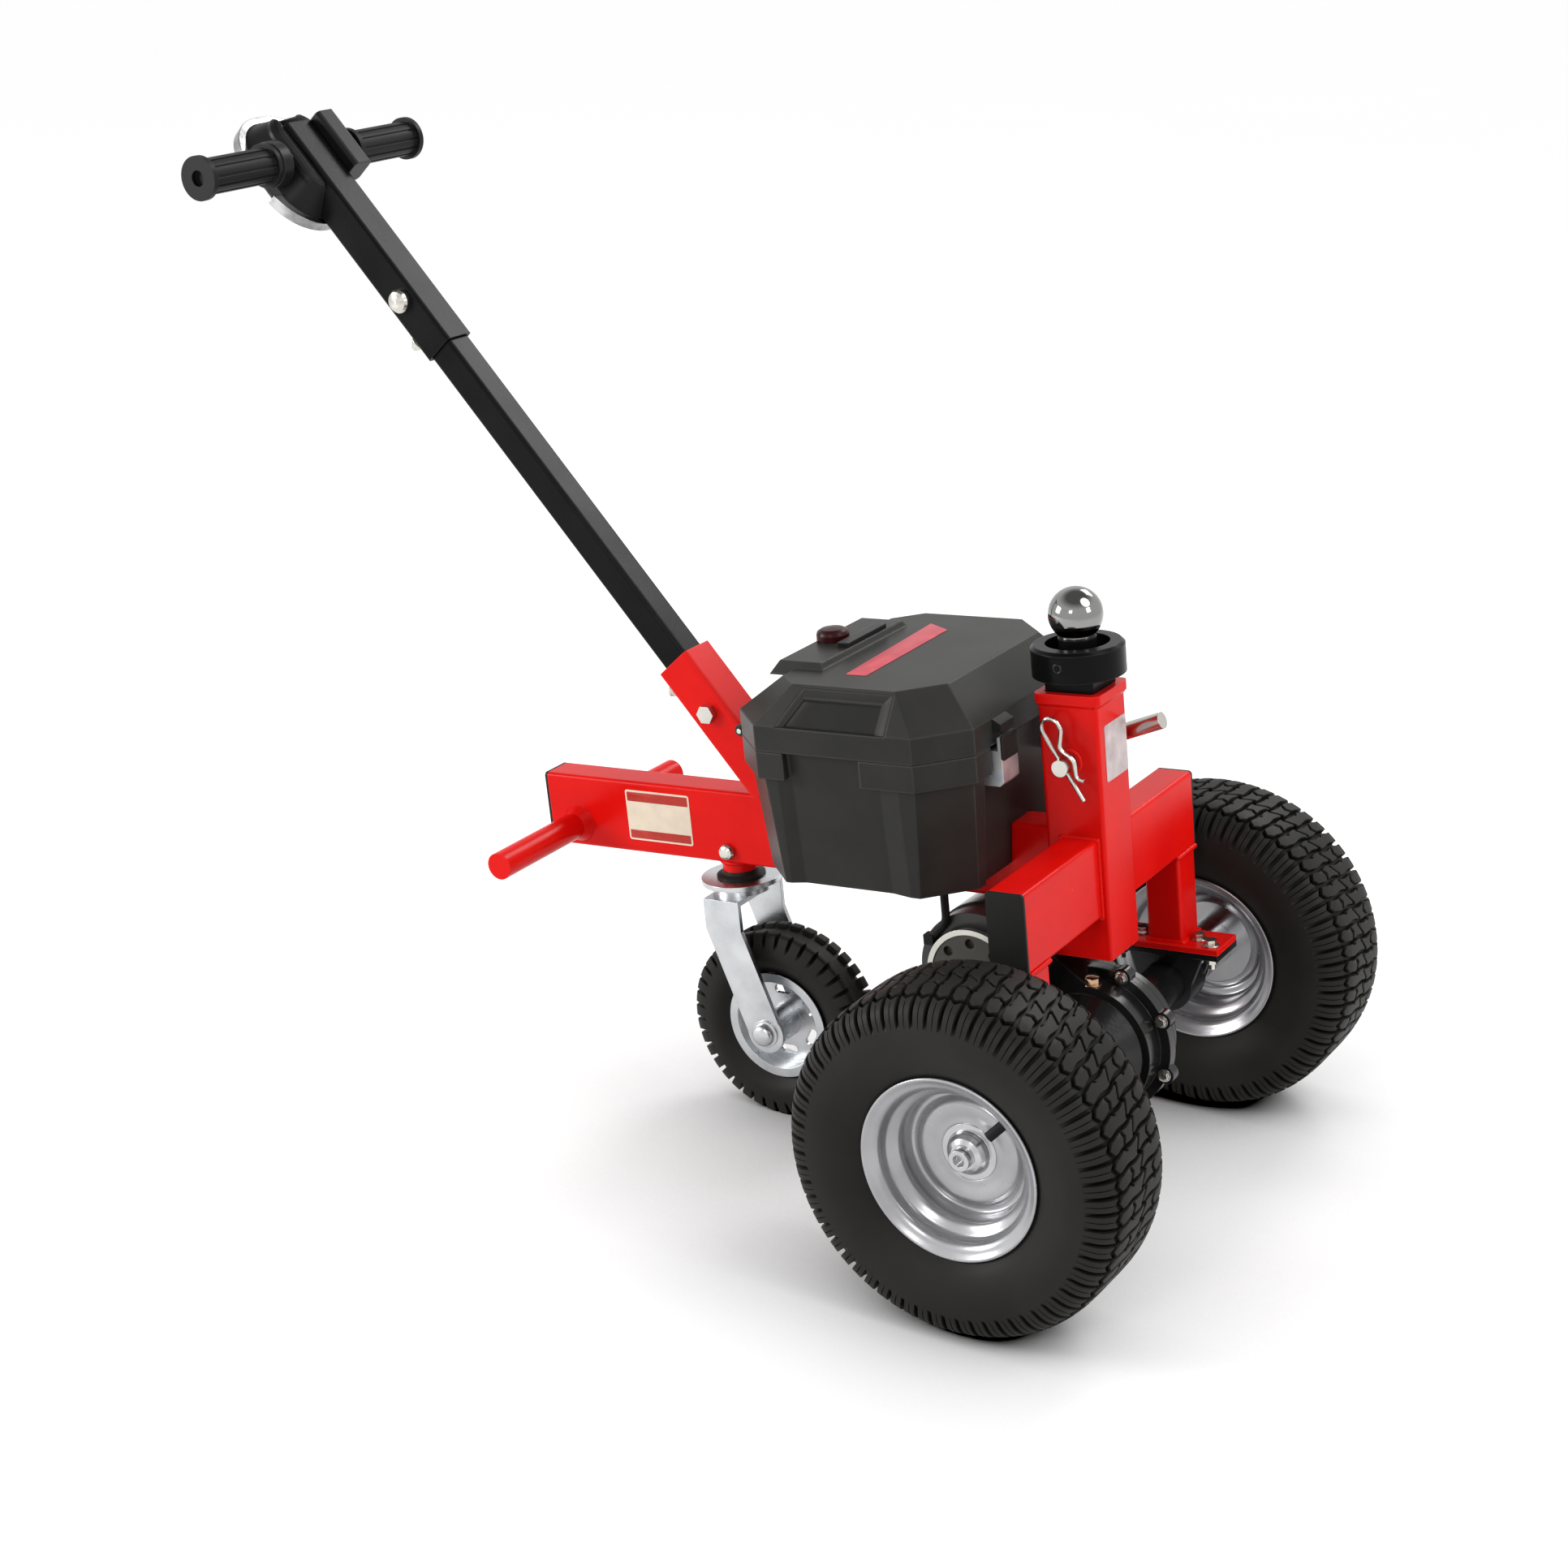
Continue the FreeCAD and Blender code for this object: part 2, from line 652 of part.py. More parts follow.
def make_gear_case():
    """A cast housing round the differential, reaching back and up to carry the motor."""
    half = gear_half_width
    drum = rod(gear_radius, Vector(0, -half, 0), Vector(0, half, 0))
    seat = rod(motor_radius, Vector(motor_x, -half, motor_z), Vector(motor_x, half, motor_z))
    across = Vector(-motor_z, 0, motor_x) * (1 / motor_distance)
    motor_centre = Vector(motor_x, 0, motor_z)
    low_web, high_web = gear_radius * gear_web_share, motor_radius * gear_web_share
    web_points = [across * low_web, -across * low_web,
                  motor_centre - across * high_web, motor_centre + across * high_web]
    web = prism([point - Y_AXIS * half for point in web_points], Y_AXIS * (2 * half))
    flange_start = Y_AXIS * (-gear_flange_thickness / 2)
    flange = rod(gear_flange_radius, flange_start, -flange_start)
    parts = [seat, web, flange]
    for k in range(gear_ears):
        angle = 2 * math.pi * (k + 0.5) / gear_ears
        ear = Vector(math.cos(angle), 0, math.sin(angle)) * gear_ear_circle
        parts.append(rod(gear_ear_radius, ear + flange_start, ear - flange_start))
    for sign in (1, -1):
        parts.append(Part.makeCone(gear_radius - gear_shoulder, gear_neck_radius, gear_dome_length,
                                   Vector(0, sign * half, 0), Y_AXIS * sign))
    case = drum.fuse(parts)
    bore = rod(axle_tube_radius, Vector(0, gear_end - gear_socket, 0), Vector(0, gear_end + 1, 0))
    case = case.cut(bore).cut(mirrored(bore))
    pieces["gear_case"] = case.removeSplitter()


def make_axle_tubes():
    """Fixed tubes from the gear case through the brackets, in which the half shafts turn."""
    tube = ring(axle_tube_radius, drive_shaft_radius + running_gap,
                Vector(0, gear_end - gear_socket, 0), Vector(0, axle_tube_end, 0))
    for side, shape in sides(tube):
        pieces[f"axle_tube_{side}"] = shape


def make_motor():
    """The drive motor on the near face of the gear case, its end bell, the band and the lead."""
    def place(y):
        return Vector(motor_x, y, motor_z)

    groove_end = motor_near_end - bell_groove
    body = rod(motor_radius - motor_step, place(-gear_half_width), place(motor_near_end))
    neck = rod(bell_radius - bell_neck, place(motor_near_end), place(groove_end))
    pieces["drive_motor"] = body.fuse(neck).removeSplitter()
    bell_end = groove_end - bell_length
    bell = rod(bell_radius, place(groove_end), place(bell_end))
    for k in range(bell_holes):
        angle = 2 * math.pi * k / bell_holes
        spoke = Vector(math.cos(angle), 0, math.sin(angle)) * bell_hole_circle
        bell = bell.cut(rod(bell_hole_radius, place(bell_end) + spoke,
                            place(bell_end + bell_hole_depth) + spoke))
    pieces["motor_end_bell"] = bell
    band_inner = bell_radius + band_gap
    band_start = groove_end - band_offset
    pieces["motor_band"] = ring(band_inner + band_thickness, band_inner, place(band_start),
                                place(band_start - band_width))
    half = terminal_size / 2
    terminal = block(terminal_x - half, terminal_x + half, motor_near_end - terminal_size, motor_near_end,
                     terminal_z - half, terminal_z + half)
    lead_y = motor_near_end - half
    lead = bent_rod(lead_radius, [Vector(lead_x, lead_y, case_bottom), Vector(lead_x, lead_y, lead_turn_z),
                                  Vector(terminal_x, lead_y, terminal_z)], [lead_bend])
    pieces["motor_lead"] = lead.fuse(terminal)


# ---- tyres ----------------------------------------------------------------------------------

def sector_point(count, sector, share, radius, offset):
    """A point on one flat of a tyre: the flat's share of the way round, its radius and side."""
    corner = radius / math.cos(math.pi / count)
    first = 2 * math.pi * sector / count - math.pi / 2 - lean - math.pi / count
    last = first + 2 * math.pi / count
    x = corner * (math.cos(first) * (1 - share) + math.cos(last) * share)
    z = corner * (math.sin(first) * (1 - share) + math.sin(last) * share)
    return Vector(x, offset, z)


def rib_spans(sign):
    """The grooves and the ribs of a flat, as shares of it. The two sides are staggered."""
    groove = (1 - rib_share) / 2
    if sign > 0:
        return [(0.0, groove), (0.5, 0.5 + groove)], [(groove, 0.5), (0.5 + groove, 1.0)]
    return [(0.5 - groove, 0.5), (1 - groove, 1.0)], [(0.0, 0.5 - groove), (0.5, 1 - groove)]


def faceted_tyre(count, centre, body, rib, floor, crossing):
    """A closed ring of flat faces: plain sidewalls and two ribs on each flat of each shoulder.

    body runs from the bead to the foot of the ribs and rib on over the shoulder to the crown,
    as (radius, offset) on one side. The grooves between the ribs rise from the foot to the
    floor. Crossing ribs and grooves run on at a slant to the other shoulder, and the others end
    where the crown starts. Nothing shows inside the ring, so it is left full.
    """
    foot = body[-1]
    crown = rib[-1]
    faces = []

    def face(sector, places):
        corners = [centre + sector_point(count, sector, share, r, y) for share, (r, y) in places]
        faces.append(Part.Face(Part.makePolygon(corners + corners[:1])))

    def across(sector, left, right, place):
        face(sector, [(share, place) for share in left]
             + [(share, (place[0], -place[1])) for share in reversed(right)])

    for sector in range(count):
        for sign in (1, -1):
            def there(place):
                return (place[0], sign * place[1])

            grooves, ribs = rib_spans(sign)
            shares = sorted({share for span in grooves + ribs for share in span})
            for low, high in zip(body, body[1:-1]):
                face(sector, [(0, there(low)), (1, there(low)), (1, there(high)), (0, there(high))])
            face(sector, [(0, there(body[-2])), (1, there(body[-2]))]
                 + [(share, there(foot)) for share in reversed(shares)])
            steps = [foot] + rib if crossing else [foot] + rib + [floor]
            for start, end in ribs:
                for low, high in zip(steps, steps[1:]):
                    face(sector, [(start, there(low)), (end, there(low)), (end, there(high)),
                                  (start, there(high))])
            for start, end in grooves:
                face(sector, [(start, there(foot)), (end, there(foot)), (end, there(floor)),
                              (start, there(floor))])
                for share in (start, end):
                    side = [foot] + rib + [floor]
                    face(sector, [(share, there(step)) for step in side])
        left_grooves, left_ribs = rib_spans(1)
        right_grooves, right_ribs = rib_spans(-1)
        if crossing:
            for left, right in zip(left_grooves, right_grooves):
                across(sector, left, right, floor)
                for start, end in zip(left, right):
                    low_end = (end, (floor[0], -floor[1]))
                    face(sector, [(start, crown), (end, (crown[0], -crown[1])), low_end])
                    face(sector, [(start, crown), low_end, (start, floor)])
            across(sector, left_ribs[0], right_ribs[1], crown)
            across(sector, left_ribs[1], (1.0,), crown)
            across(sector, (0.0,), right_ribs[0], crown)
        else:
            left = sorted({share for span in left_grooves + left_ribs for share in span})
            right = sorted({share for span in right_grooves + right_ribs for share in span})
            across(sector, left, right, floor)
        across(sector, (0, 1), (0, 1), body[0])
    shell = Part.makeShell(faces)
    shell.sewShape()
    return Part.makeSolid(shell)


# ---- drive wheels ---------------------------------------------------------------------------

def make_drive_wheels():
    """Tyre, rim and hub with its half shaft, drawn on the left wheel."""
    centre = Vector(0, drive_wheel_y, 0)
    half = drive_tyre_width / 2
    wall = drive_tyre_wall
    seat = drive_rim_width / 2 - drive_rim_wall
    bead = (drive_bead_radius + bead_gap, seat - wall)
    body = [bead, (drive_bulge_radius, half), (drive_rib_foot, half - 1)]
    rib = [(drive_shoulder_radius, half - wall), (drive_radius, drive_crown_half)]
    floor = (drive_radius - drive_groove_depth, drive_crown_half)
    tyre = faceted_tyre(drive_facets, centre, body, rib, floor, crossing=True)
    rim = make_drive_rim(centre)
    hub = make_hub(centre)
    for name, drawn in (("tyre", tyre), ("rim", rim), ("hub", hub)):
        for side, shape in sides(drawn):
            pieces[f"{name}_{side}"] = shape


def make_drive_rim(centre):
    """A pressed rim: two flanges, a stepped barrel and a disc with a ring groove round it."""
    half = drive_rim_width / 2
    wall = drive_rim_wall
    well = drive_bead_radius - 12.0
    bead = drive_bead_radius
    flange = drive_flange_radius
    disc = drive_disc_offset
    barrel = [(flange, half), (flange, half - wall), (bead, half - wall), (bead, 0.62 * half),
              (well, 0.5 * half), (well, -0.5 * half), (bead, -0.62 * half), (bead, -half + wall),
              (flange, -half + wall), (flange, -half), (bead - wall, -half),
              (bead - wall, -0.66 * half), (well - wall, -0.52 * half), (well - wall, 0.52 * half),
              (bead - wall, 0.66 * half), (bead - wall, half)]
    solid = spun(barrel, centre, Y_AXIS)
    groove = disc - rim_groove_depth
    edge = well - wall / 2
    dish = [(edge, groove), (edge, groove - wall), (rim_groove_radius + 1, groove - wall),
            (rim_groove_radius - rim_groove_slope + 1, disc - wall), (hub_radius, disc - wall),
            (hub_radius, disc), (rim_groove_radius - rim_groove_slope, disc),
            (rim_groove_radius, groove)]
    return solid.fuse(spun(dish, centre, Y_AXIS)).removeSplitter()


def make_hub(centre):
    """A hub bolted inside the rim's disc, its cap and nose outside, and its half shaft."""
    inner_end = axle_tube_end + hub_gap - drive_wheel_y
    disc = drive_disc_offset
    seat = disc - drive_rim_wall
    cap_end = disc + hub_cap_height
    nose_end = cap_end + hub_nose_height
    back = seat - hub_flange_thickness
    barrel = hub_radius - 3
    flange = hub_flange_radius - 4
    section = [(0, inner_end), (barrel, inner_end), (barrel, back), (flange, back), (flange, seat),
               (hub_radius, seat), (hub_radius, disc), (hub_cap_radius, disc),
               (0.93 * hub_cap_radius, disc + 0.45 * hub_cap_height),
               (0.78 * hub_cap_radius, disc + 0.8 * hub_cap_height),
               (0.58 * hub_cap_radius, cap_end), (hub_nose_radius, cap_end),
               (hub_nose_radius, nose_end), (hub_bore_radius, nose_end),
               (hub_bore_radius, nose_end - hub_bore_depth), (0, nose_end - hub_bore_depth)]
    hub = spun(section, centre, Y_AXIS)
    start = gear_end - gear_socket + half_shaft_entry
    shaft = rod(drive_shaft_radius, Vector(0, start, 0), centre + Y_AXIS * inner_end)
    return hub.fuse(shaft).removeSplitter()


# ---- battery case and lid -------------------------------------------------------------------

def cut_corner_rectangle(x0, x1, half_width, rear_corner, front_corner, z):
    """A rectangle about the X axis with its four corners cut off, as a closed wire."""
    y = half_width
    points = [(x0 + rear_corner, -y), (x1 - front_corner, -y), (x1, -y + front_corner),
              (x1, y - front_corner), (x1 - front_corner, y), (x0 + rear_corner, y),
              (x0, y - rear_corner), (x0, -y + rear_corner)]
    corners = [Vector(px, py, z) for px, py in points]
    return Part.makePolygon(corners + corners[:1])


def lean_in(z):
    """How far the case's outer faces have leaned in at a height."""
    return case_taper * (case_seam - z) / (case_seam - case_bottom)


def case_shell(inset, z_low, z_high):
    """The case's tapering outer form between two heights, grown smaller by an inset."""
    wires = []
    for z in (z_low, z_high):
        step = inset + lean_in(z)
        corner = case_corner - MITRE * inset
        wires.append(cut_corner_rectangle(case_rear + step, case_front - step,
                                          case_half_width - step, corner, corner, z))
    return Part.makeLoft(wires, True, True)


def panel_recess(start, end, start_bevel, end_bevel, face_at, across):
    """The shallow hollow in one face of the case, with sloping sides, over its whole height.

    The face stands at face_at from the middle and faces along across; start and end are
    measured along the other level axis.
    """
    along = X_AXIS if abs(across.y) > 0.5 else Y_AXIS
    wires = []
    for z in (case_bottom, case_seam):
        corners = []
        for place, bevel, out in ((start, start_bevel, 1), (end, -end_bevel, 1), (end, -end_bevel, -1),
                                  (start, start_bevel, -1)):
            depth = case_panel_depth if out < 0 else -case_panel_depth
            shift = bevel if out < 0 else -bevel
            corners.append(along * (place + shift) + across * (face_at - lean_in(z) - depth) + Z_AXIS * z)
        wires.append(Part.makePolygon(corners + corners[:1]))
    return Part.makeLoft(wires, True, True)


def case_outside():
    """The case's outer form as a solid: panels between corner posts, collars round the top."""
    side = panel_recess(rear_post_end, front_post_end, rear_post_bevel, front_post_bevel,
                        case_half_width, Y_AXIS)
    front = panel_recess(-end_panel_half, end_panel_half, end_panel_bevel, end_panel_bevel,
                         case_front, X_AXIS)
    rear = panel_recess(-end_panel_half, end_panel_half, end_panel_bevel, end_panel_bevel,
                        -case_rear, -X_AXIS)
    outside = case_shell(0.0, case_bottom, case_seam).cut([side, mirrored(side), front, rear])
    over = lid_overhang
    low = case_seam - case_collar_height
    corner = case_corner + MITRE * over
    ledge = cut_corner_rectangle(case_rear - over, case_front + over, case_half_width + over,
                                 corner, corner, low)
    collar = Part.Face(ledge).extrude(Vector(0, 0, case_collar_height))
    wide = case_half_width + over
    gap_x = block(rear_collar_end, front_collar_end, -wide, wide, low, case_seam)
    gap_y = block(case_rear - over, case_front + over, -collar_end_y, collar_end_y, low, case_seam)
    return outside.fuse(collar.cut([gap_x, gap_y]))


def hinge_half(start, end, tab_end, tab_low, tab_high):
    """One knuckle of a hinge, with the tab that joins it to the case or the lid."""
    knuckle = rod(hinge_radius, Vector(hinge_x, start, hinge_z), Vector(hinge_x, end, hinge_z))
    return knuckle.fuse(block(hinge_x, tab_end, start, end, tab_low, tab_high))


def make_case():
    """A hollow moulded tub that sits astride the main tube, with a hinge at its rear."""
    saddle_half = main_width / 2 + case_saddle_gap
    hollow = case_shell(case_panel_depth + case_wall, case_bottom + case_wall, case_seam)
    saddle = block(case_rear - 1, case_front + 1, -saddle_half, saddle_half, case_bottom - 1, main_top)
    hump = block(case_rear, case_front, -saddle_half - case_wall, saddle_half + case_wall,
                 case_bottom, main_top + case_wall)
    knuckle_end = hinge_y - hinge_side_gap / 2
    knuckle = hinge_half(knuckle_end - hinge_knuckle, knuckle_end,
                         case_rear + case_panel_depth + case_wall / 2,
                         hinge_z - hinge_radius, case_seam - hinge_side_gap)
    tub = case_outside().fuse([knuckle, mirrored(knuckle)])
    pin_hole = rod(hinge_pin_radius + running_gap, Vector(hinge_x, -case_half_width, hinge_z),
                   Vector(hinge_x, case_half_width, hinge_z))
    tub = tub.cut(hollow.cut(hump)).cut([saddle, pin_hole])
    pieces["battery_case"] = tub.removeSplitter()
    pin = rod(hinge_pin_radius, Vector(hinge_x, hinge_y - hinge_knuckle - hinge_pin_radius, hinge_z),
              Vector(hinge_x, hinge_y + hinge_knuckle + hinge_pin_radius, hinge_z))
    pieces["hinge_pins"] = both(pin)


def lid_form(inset, z0, z1, z2):
    """The lid's outline grown smaller by an inset: a straight rim and the slopes above it."""
    rear, front = case_rear - lid_overhang, case_front + lid_overhang
    half = case_half_width + lid_overhang
    corner = case_corner + MITRE * (lid_overhang - inset)
    shrink = MITRE * inset
    low, middle = (cut_corner_rectangle(rear + inset, front - inset, half - inset, corner, corner, z)
                   for z in (z0, z1))
    top = cut_corner_rectangle(rear + lid_inset_rear + inset, front - lid_inset_front - inset,
                               half - lid_inset_side - inset, lid_corner_rear - shrink,
                               lid_corner_front - shrink, z2)
    return Part.makeLoft([low, middle], True, True).fuse(Part.makeLoft([middle, top], True, True))


def lid_recess(depth, margin):
    """The four-sided recess in the left slope, to a depth below it, grown by a margin."""
    foot = Vector(0, case_half_width + lid_overhang, lid_rim_top)
    rise = Vector(0, -lid_inset_side, lid_rise)
    normal = Vector(0, lid_rise, lid_inset_side).normalize()
    length = rise.Length
    corners = []
    for x, share, sign in ((lid_recess_low_rear, 0.0, -1), (lid_recess_low_front, 0.0, 1),
                           (lid_recess_top_front, lid_recess_head, 1),
                           (lid_recess_top_rear, lid_recess_head, -1)):
        up = share + (margin / length if share else 0.0)
        corners.append(foot + rise * up + X_AXIS * (x + sign * margin) - normal * depth)
    return prism(corners, normal * (2 * depth))


def make_lid():
    """The lid: a rim, slopes with a recess on each side, a flat top and a pad at its rear."""
    inner = lid_form(case_wall, lid_low, lid_rim_top, lid_top - case_wall)
    backing = lid_recess(lid_recess_depth + case_wall, case_wall)
    inner = inner.cut([backing, mirrored(backing)])
    recess = lid_recess(lid_recess_depth, 0.0)
    edge = lid_boss_edge
    low, high = ([Vector(lid_boss_rear + step, -lid_boss_half_width + step, z),
                  Vector(lid_boss_front - step, -lid_boss_half_width + step, z),
                  Vector(lid_boss_front - step, lid_boss_half_width - step, z),
                  Vector(lid_boss_rear + step, lid_boss_half_width - step, z)]
                 for step, z in ((-edge, lid_top - lid_boss_height), (edge, boss_top)))
    boss = Part.makeLoft([Part.makePolygon(low + low[:1]), Part.makePolygon(high + high[:1])], True, True)
    start = hinge_y + hinge_side_gap / 2
    knuckle = hinge_half(start, start + hinge_knuckle, case_rear - lid_overhang + case_wall / 2,
                         hinge_z, hinge_z + hinge_radius)
    lid = lid_form(0.0, lid_low, lid_rim_top, lid_top).cut([recess, mirrored(recess)])
    lid = lid.fuse([boss, knuckle, mirrored(knuckle)])
    pin_hole = rod(hinge_pin_radius + running_gap, Vector(hinge_x, -case_half_width, hinge_z),
                   Vector(hinge_x, case_half_width, hinge_z))
    pieces["lid"] = lid.cut([inner, pin_hole]).removeSplitter()


def make_lid_trim():
    """The stop button and the pull on the lid, its two catches and the latches on the case."""
    foot = Vector(button_x, 0, boss_top)
    section = [(0, 0), (button_radius, 0), (button_radius, button_height - 2 * button_crown),
               (0.93 * button_radius, button_height - button_crown),
               (0.7 * button_radius, button_height - 0.3 * button_crown), (0, button_height)]
    pieces["stop_button"] = spun(section, foot, Z_AXIS)
    pull = block(lid_pull_rear, lid_pull_front, lid_pull_right, lid_pull_left,
                 lid_top, boss_top + lid_pull_height)
    pieces["lid_handle"] = pull.cut(pieces["lid"])
    lid_front = case_front + lid_overhang
    catch_low = case_seam + lever_top + catch_gap
    catch_end = lid_front + catch_out
    catch = profile([(lid_front, catch_low), (catch_end, catch_low),
                     (catch_end, catch_low + catch_height - catch_slope),
                     (lid_front, catch_low + catch_height)], catch_width, latch_y - catch_width / 2)
    pieces["lid_catches"] = both(catch)
    low = latch_y - latch_width / 2
    bottom = case_seam - latch_bottom
    lever_back = case_front + latch_body
    lever_front = lever_back + lever_thickness
    body = block(case_front - latch_width, lever_back, low, low + latch_width,
                 bottom, case_seam - latch_body_top)
    lever = profile([(lever_back, bottom), (lever_front - latch_chamfer, bottom),
                     (lever_front, bottom + latch_chamfer), (lever_front, case_seam + lever_top),
                     (lever_back, case_seam + lever_top)], latch_width, low)
    latch = body.cut(case_outside()).fuse(lever).removeSplitter()
    pieces["latches"] = both(latch)


def make_batteries():
    """Two sealed batteries, one on each side of the saddle, as plain blocks."""
    middle_x = (case_front + case_rear) / 2
    floor = case_bottom + case_wall
    inside = main_width / 2 + case_saddle_gap + case_wall + battery_gap
    cell = block(middle_x - battery_length / 2, middle_x + battery_length / 2, inside,
                 inside + battery_width, floor, lid_top - case_wall - battery_headroom)
    pieces["batteries"] = both(cell)


# ---- ball hitch -----------------------------------------------------------------------------

def make_ball_mount():
    """A square bar in the post, a collar on top of it and the ball on its neck."""
    bar_height = mount_bar_top - mount_bar_bottom
    solid = bar(mount_bar_size, mount_bar_size, bar_height, post_inner_corner)
    solid.translate(Vector(post_centre_x, 0, mount_bar_bottom))
    hole = rod(pin_radius + running_gap, Vector(post_centre_x, -post_size, pin_z),
               Vector(post_centre_x, post_size, pin_z))
    pieces["ball_mount_bar"] = solid.cut(hole)
    foot = Vector(post_centre_x, 0, mount_bar_top)
    slope_start = collar_height - collar_chamfer
    section = [(collar_bore, 0), (collar_radius, 0), (collar_radius, slope_start),
               (collar_radius - collar_chamfer, collar_height), (collar_bore, collar_height)]
    pieces["ball_collar"] = spun(section, foot, Z_AXIS)
    ball = Part.makeSphere(ball_radius, Vector(post_centre_x, 0, ball_centre_z))
    neck = rod(ball_neck_radius, foot, Vector(post_centre_x, 0, ball_centre_z))
    seat = rod(collar_bore - ball_seat_gap, foot, foot + Z_AXIS * ball_seat_height)
    pieces["hitch_ball"] = ball.fuse([neck, seat]).removeSplitter()


def make_hitch_pin():
    """The bent pin through the post and the bar, and the spring clip on its near end."""
    centre_x = post_centre_x
    rise = math.radians(pin_arm_rise)
    bend = Vector(centre_x, pin_far_end, pin_z)
    tip = bend + Vector(math.cos(rise), 0, math.sin(rise)) * pin_arm_length
    pin = bent_rod(pin_radius, [Vector(centre_x, pin_near_end, pin_z), bend, tip], [pin_bend])
    slant = math.radians(clip_slant)
    along = Vector(-math.cos(slant), 0, math.sin(slant))
    out = Vector(math.sin(slant), 0, math.cos(slant))
    foot = Vector(centre_x, pin_near_end + clip_inset, pin_z)
    places = [(-clip_leg_down, 0), (clip_leg_up, 0), (clip_leg_up, 2 * clip_bow),
              (clip_shoulder, 2 * clip_bow), (clip_waist, clip_waist_gap), (0, clip_hump),
              (-clip_waist, clip_waist_gap), (-clip_tail, clip_tail_out)]
    path = [foot + along * u + out * w for u, w in places]
    bends = [(clip_bow, 6)] * 2 + [(0.8 * clip_bow, 3)] * 3 + [(0.4 * clip_bow, 2)]
    wire = path[:1]
    for before, corner, after, (bend, steps) in zip(path, path[1:], path[2:], bends):
        arc = bend_points(before, corner, after, bend, steps)
        wire += arc[1:] if (arc[0] - wire[-1]).Length < clip_wire_radius / 10 else arc
    pieces["pin_clip"] = flat_sided_wire(clip_wire_radius, wire + path[-1:], Y_AXIS)
    leg = rod(clip_wire_radius + running_gap, path[0], path[1])
    pieces["hitch_pin"] = pin.cut(leg)


# ---- handle ---------------------------------------------------------------------------------

def make_handle():
    """The socket on the main tube, two telescoped tubes and the bar with its grips."""
    size = socket_size
    floor_cut = block(handle_foot_x - 3 * size, handle_foot_x + 3 * size, -size, size,
                      main_top - 3 * size, main_top)
    socket = bar(size, size, socket_length + size, tube_corner, socket_wall)
    socket = moved(socket, handle_point(-size), Y_AXIS, handle_direction).cut(floor_cut)
    pieces["handle_socket"] = socket
    lower_length = upper_tube_start + tube_overlap - size
    lower = bar(lower_tube_size, lower_tube_size, lower_length, tube_corner, lower_tube_wall)
    pieces["handle_lower"] = moved(lower, handle_point(size), Y_AXIS, handle_direction)
    upper_wall = (upper_tube_size - lower_tube_size) / 2 - slide_gap
    upper = bar(upper_tube_size, upper_tube_size, upper_tube_end - upper_tube_start,
                tube_corner, upper_wall)
    upper = moved(upper, handle_point(upper_tube_start), Y_AXIS, handle_direction)
    hole = rod(bar_radius, handle_point(bar_station, -upper_tube_size),
               handle_point(bar_station, upper_tube_size))
    pieces["handle_upper"] = upper.cut(hole)
    pieces["handlebar"] = rod(bar_radius, handle_point(bar_station, -bar_half_length),
                              handle_point(bar_station, bar_half_length))


def make_grips():
    """Rubber grips with a flange at each end, lengthwise grooves and a hollow in the end."""
    outer = bar_half_length + grip_end
    inner = outer - grip_length
    flange = grip_flange_thickness
    section = [(bar_radius, inner), (grip_flange_radius, inner), (grip_flange_radius, inner + flange),
               (grip_radius, inner + flange), (grip_radius, outer - flange),
               (grip_flange_radius, outer - flange), (grip_flange_radius, outer),
               (grip_recess_radius, outer), (grip_recess_radius, outer - grip_recess_depth),
               (0, outer - grip_recess_depth), (0, bar_half_length), (bar_radius, bar_half_length)]
    centre = handle_point(bar_station)
    grip = spun(section, centre, Y_AXIS)
    groove = block(-grip_flute_width / 2, grip_flute_width / 2, inner + flange, outer - flange,
                   grip_radius - grip_flute_depth, grip_radius + grip_flute_depth)
    grooves = []
    for k in range(grip_flutes):
        turned = groove.copy()
        turned.rotate(ORIGIN, Y_AXIS, 360 * k / grip_flutes)
        turned.translate(centre)
        grooves.append(turned)
    for side, shape in sides(grip.cut(grooves)):
        pieces[f"grip_{side}"] = shape


def console_slab(half_width, half_length, corner, level, thickness):
    """A rounded plate across the handle, centred on the bar, from a level towards the underside."""
    slab = bar(2 * half_width, 2 * half_length, thickness, corner)
    return moved(slab, handle_point(bar_station, 0.0, level), Y_AXIS, handle_under)


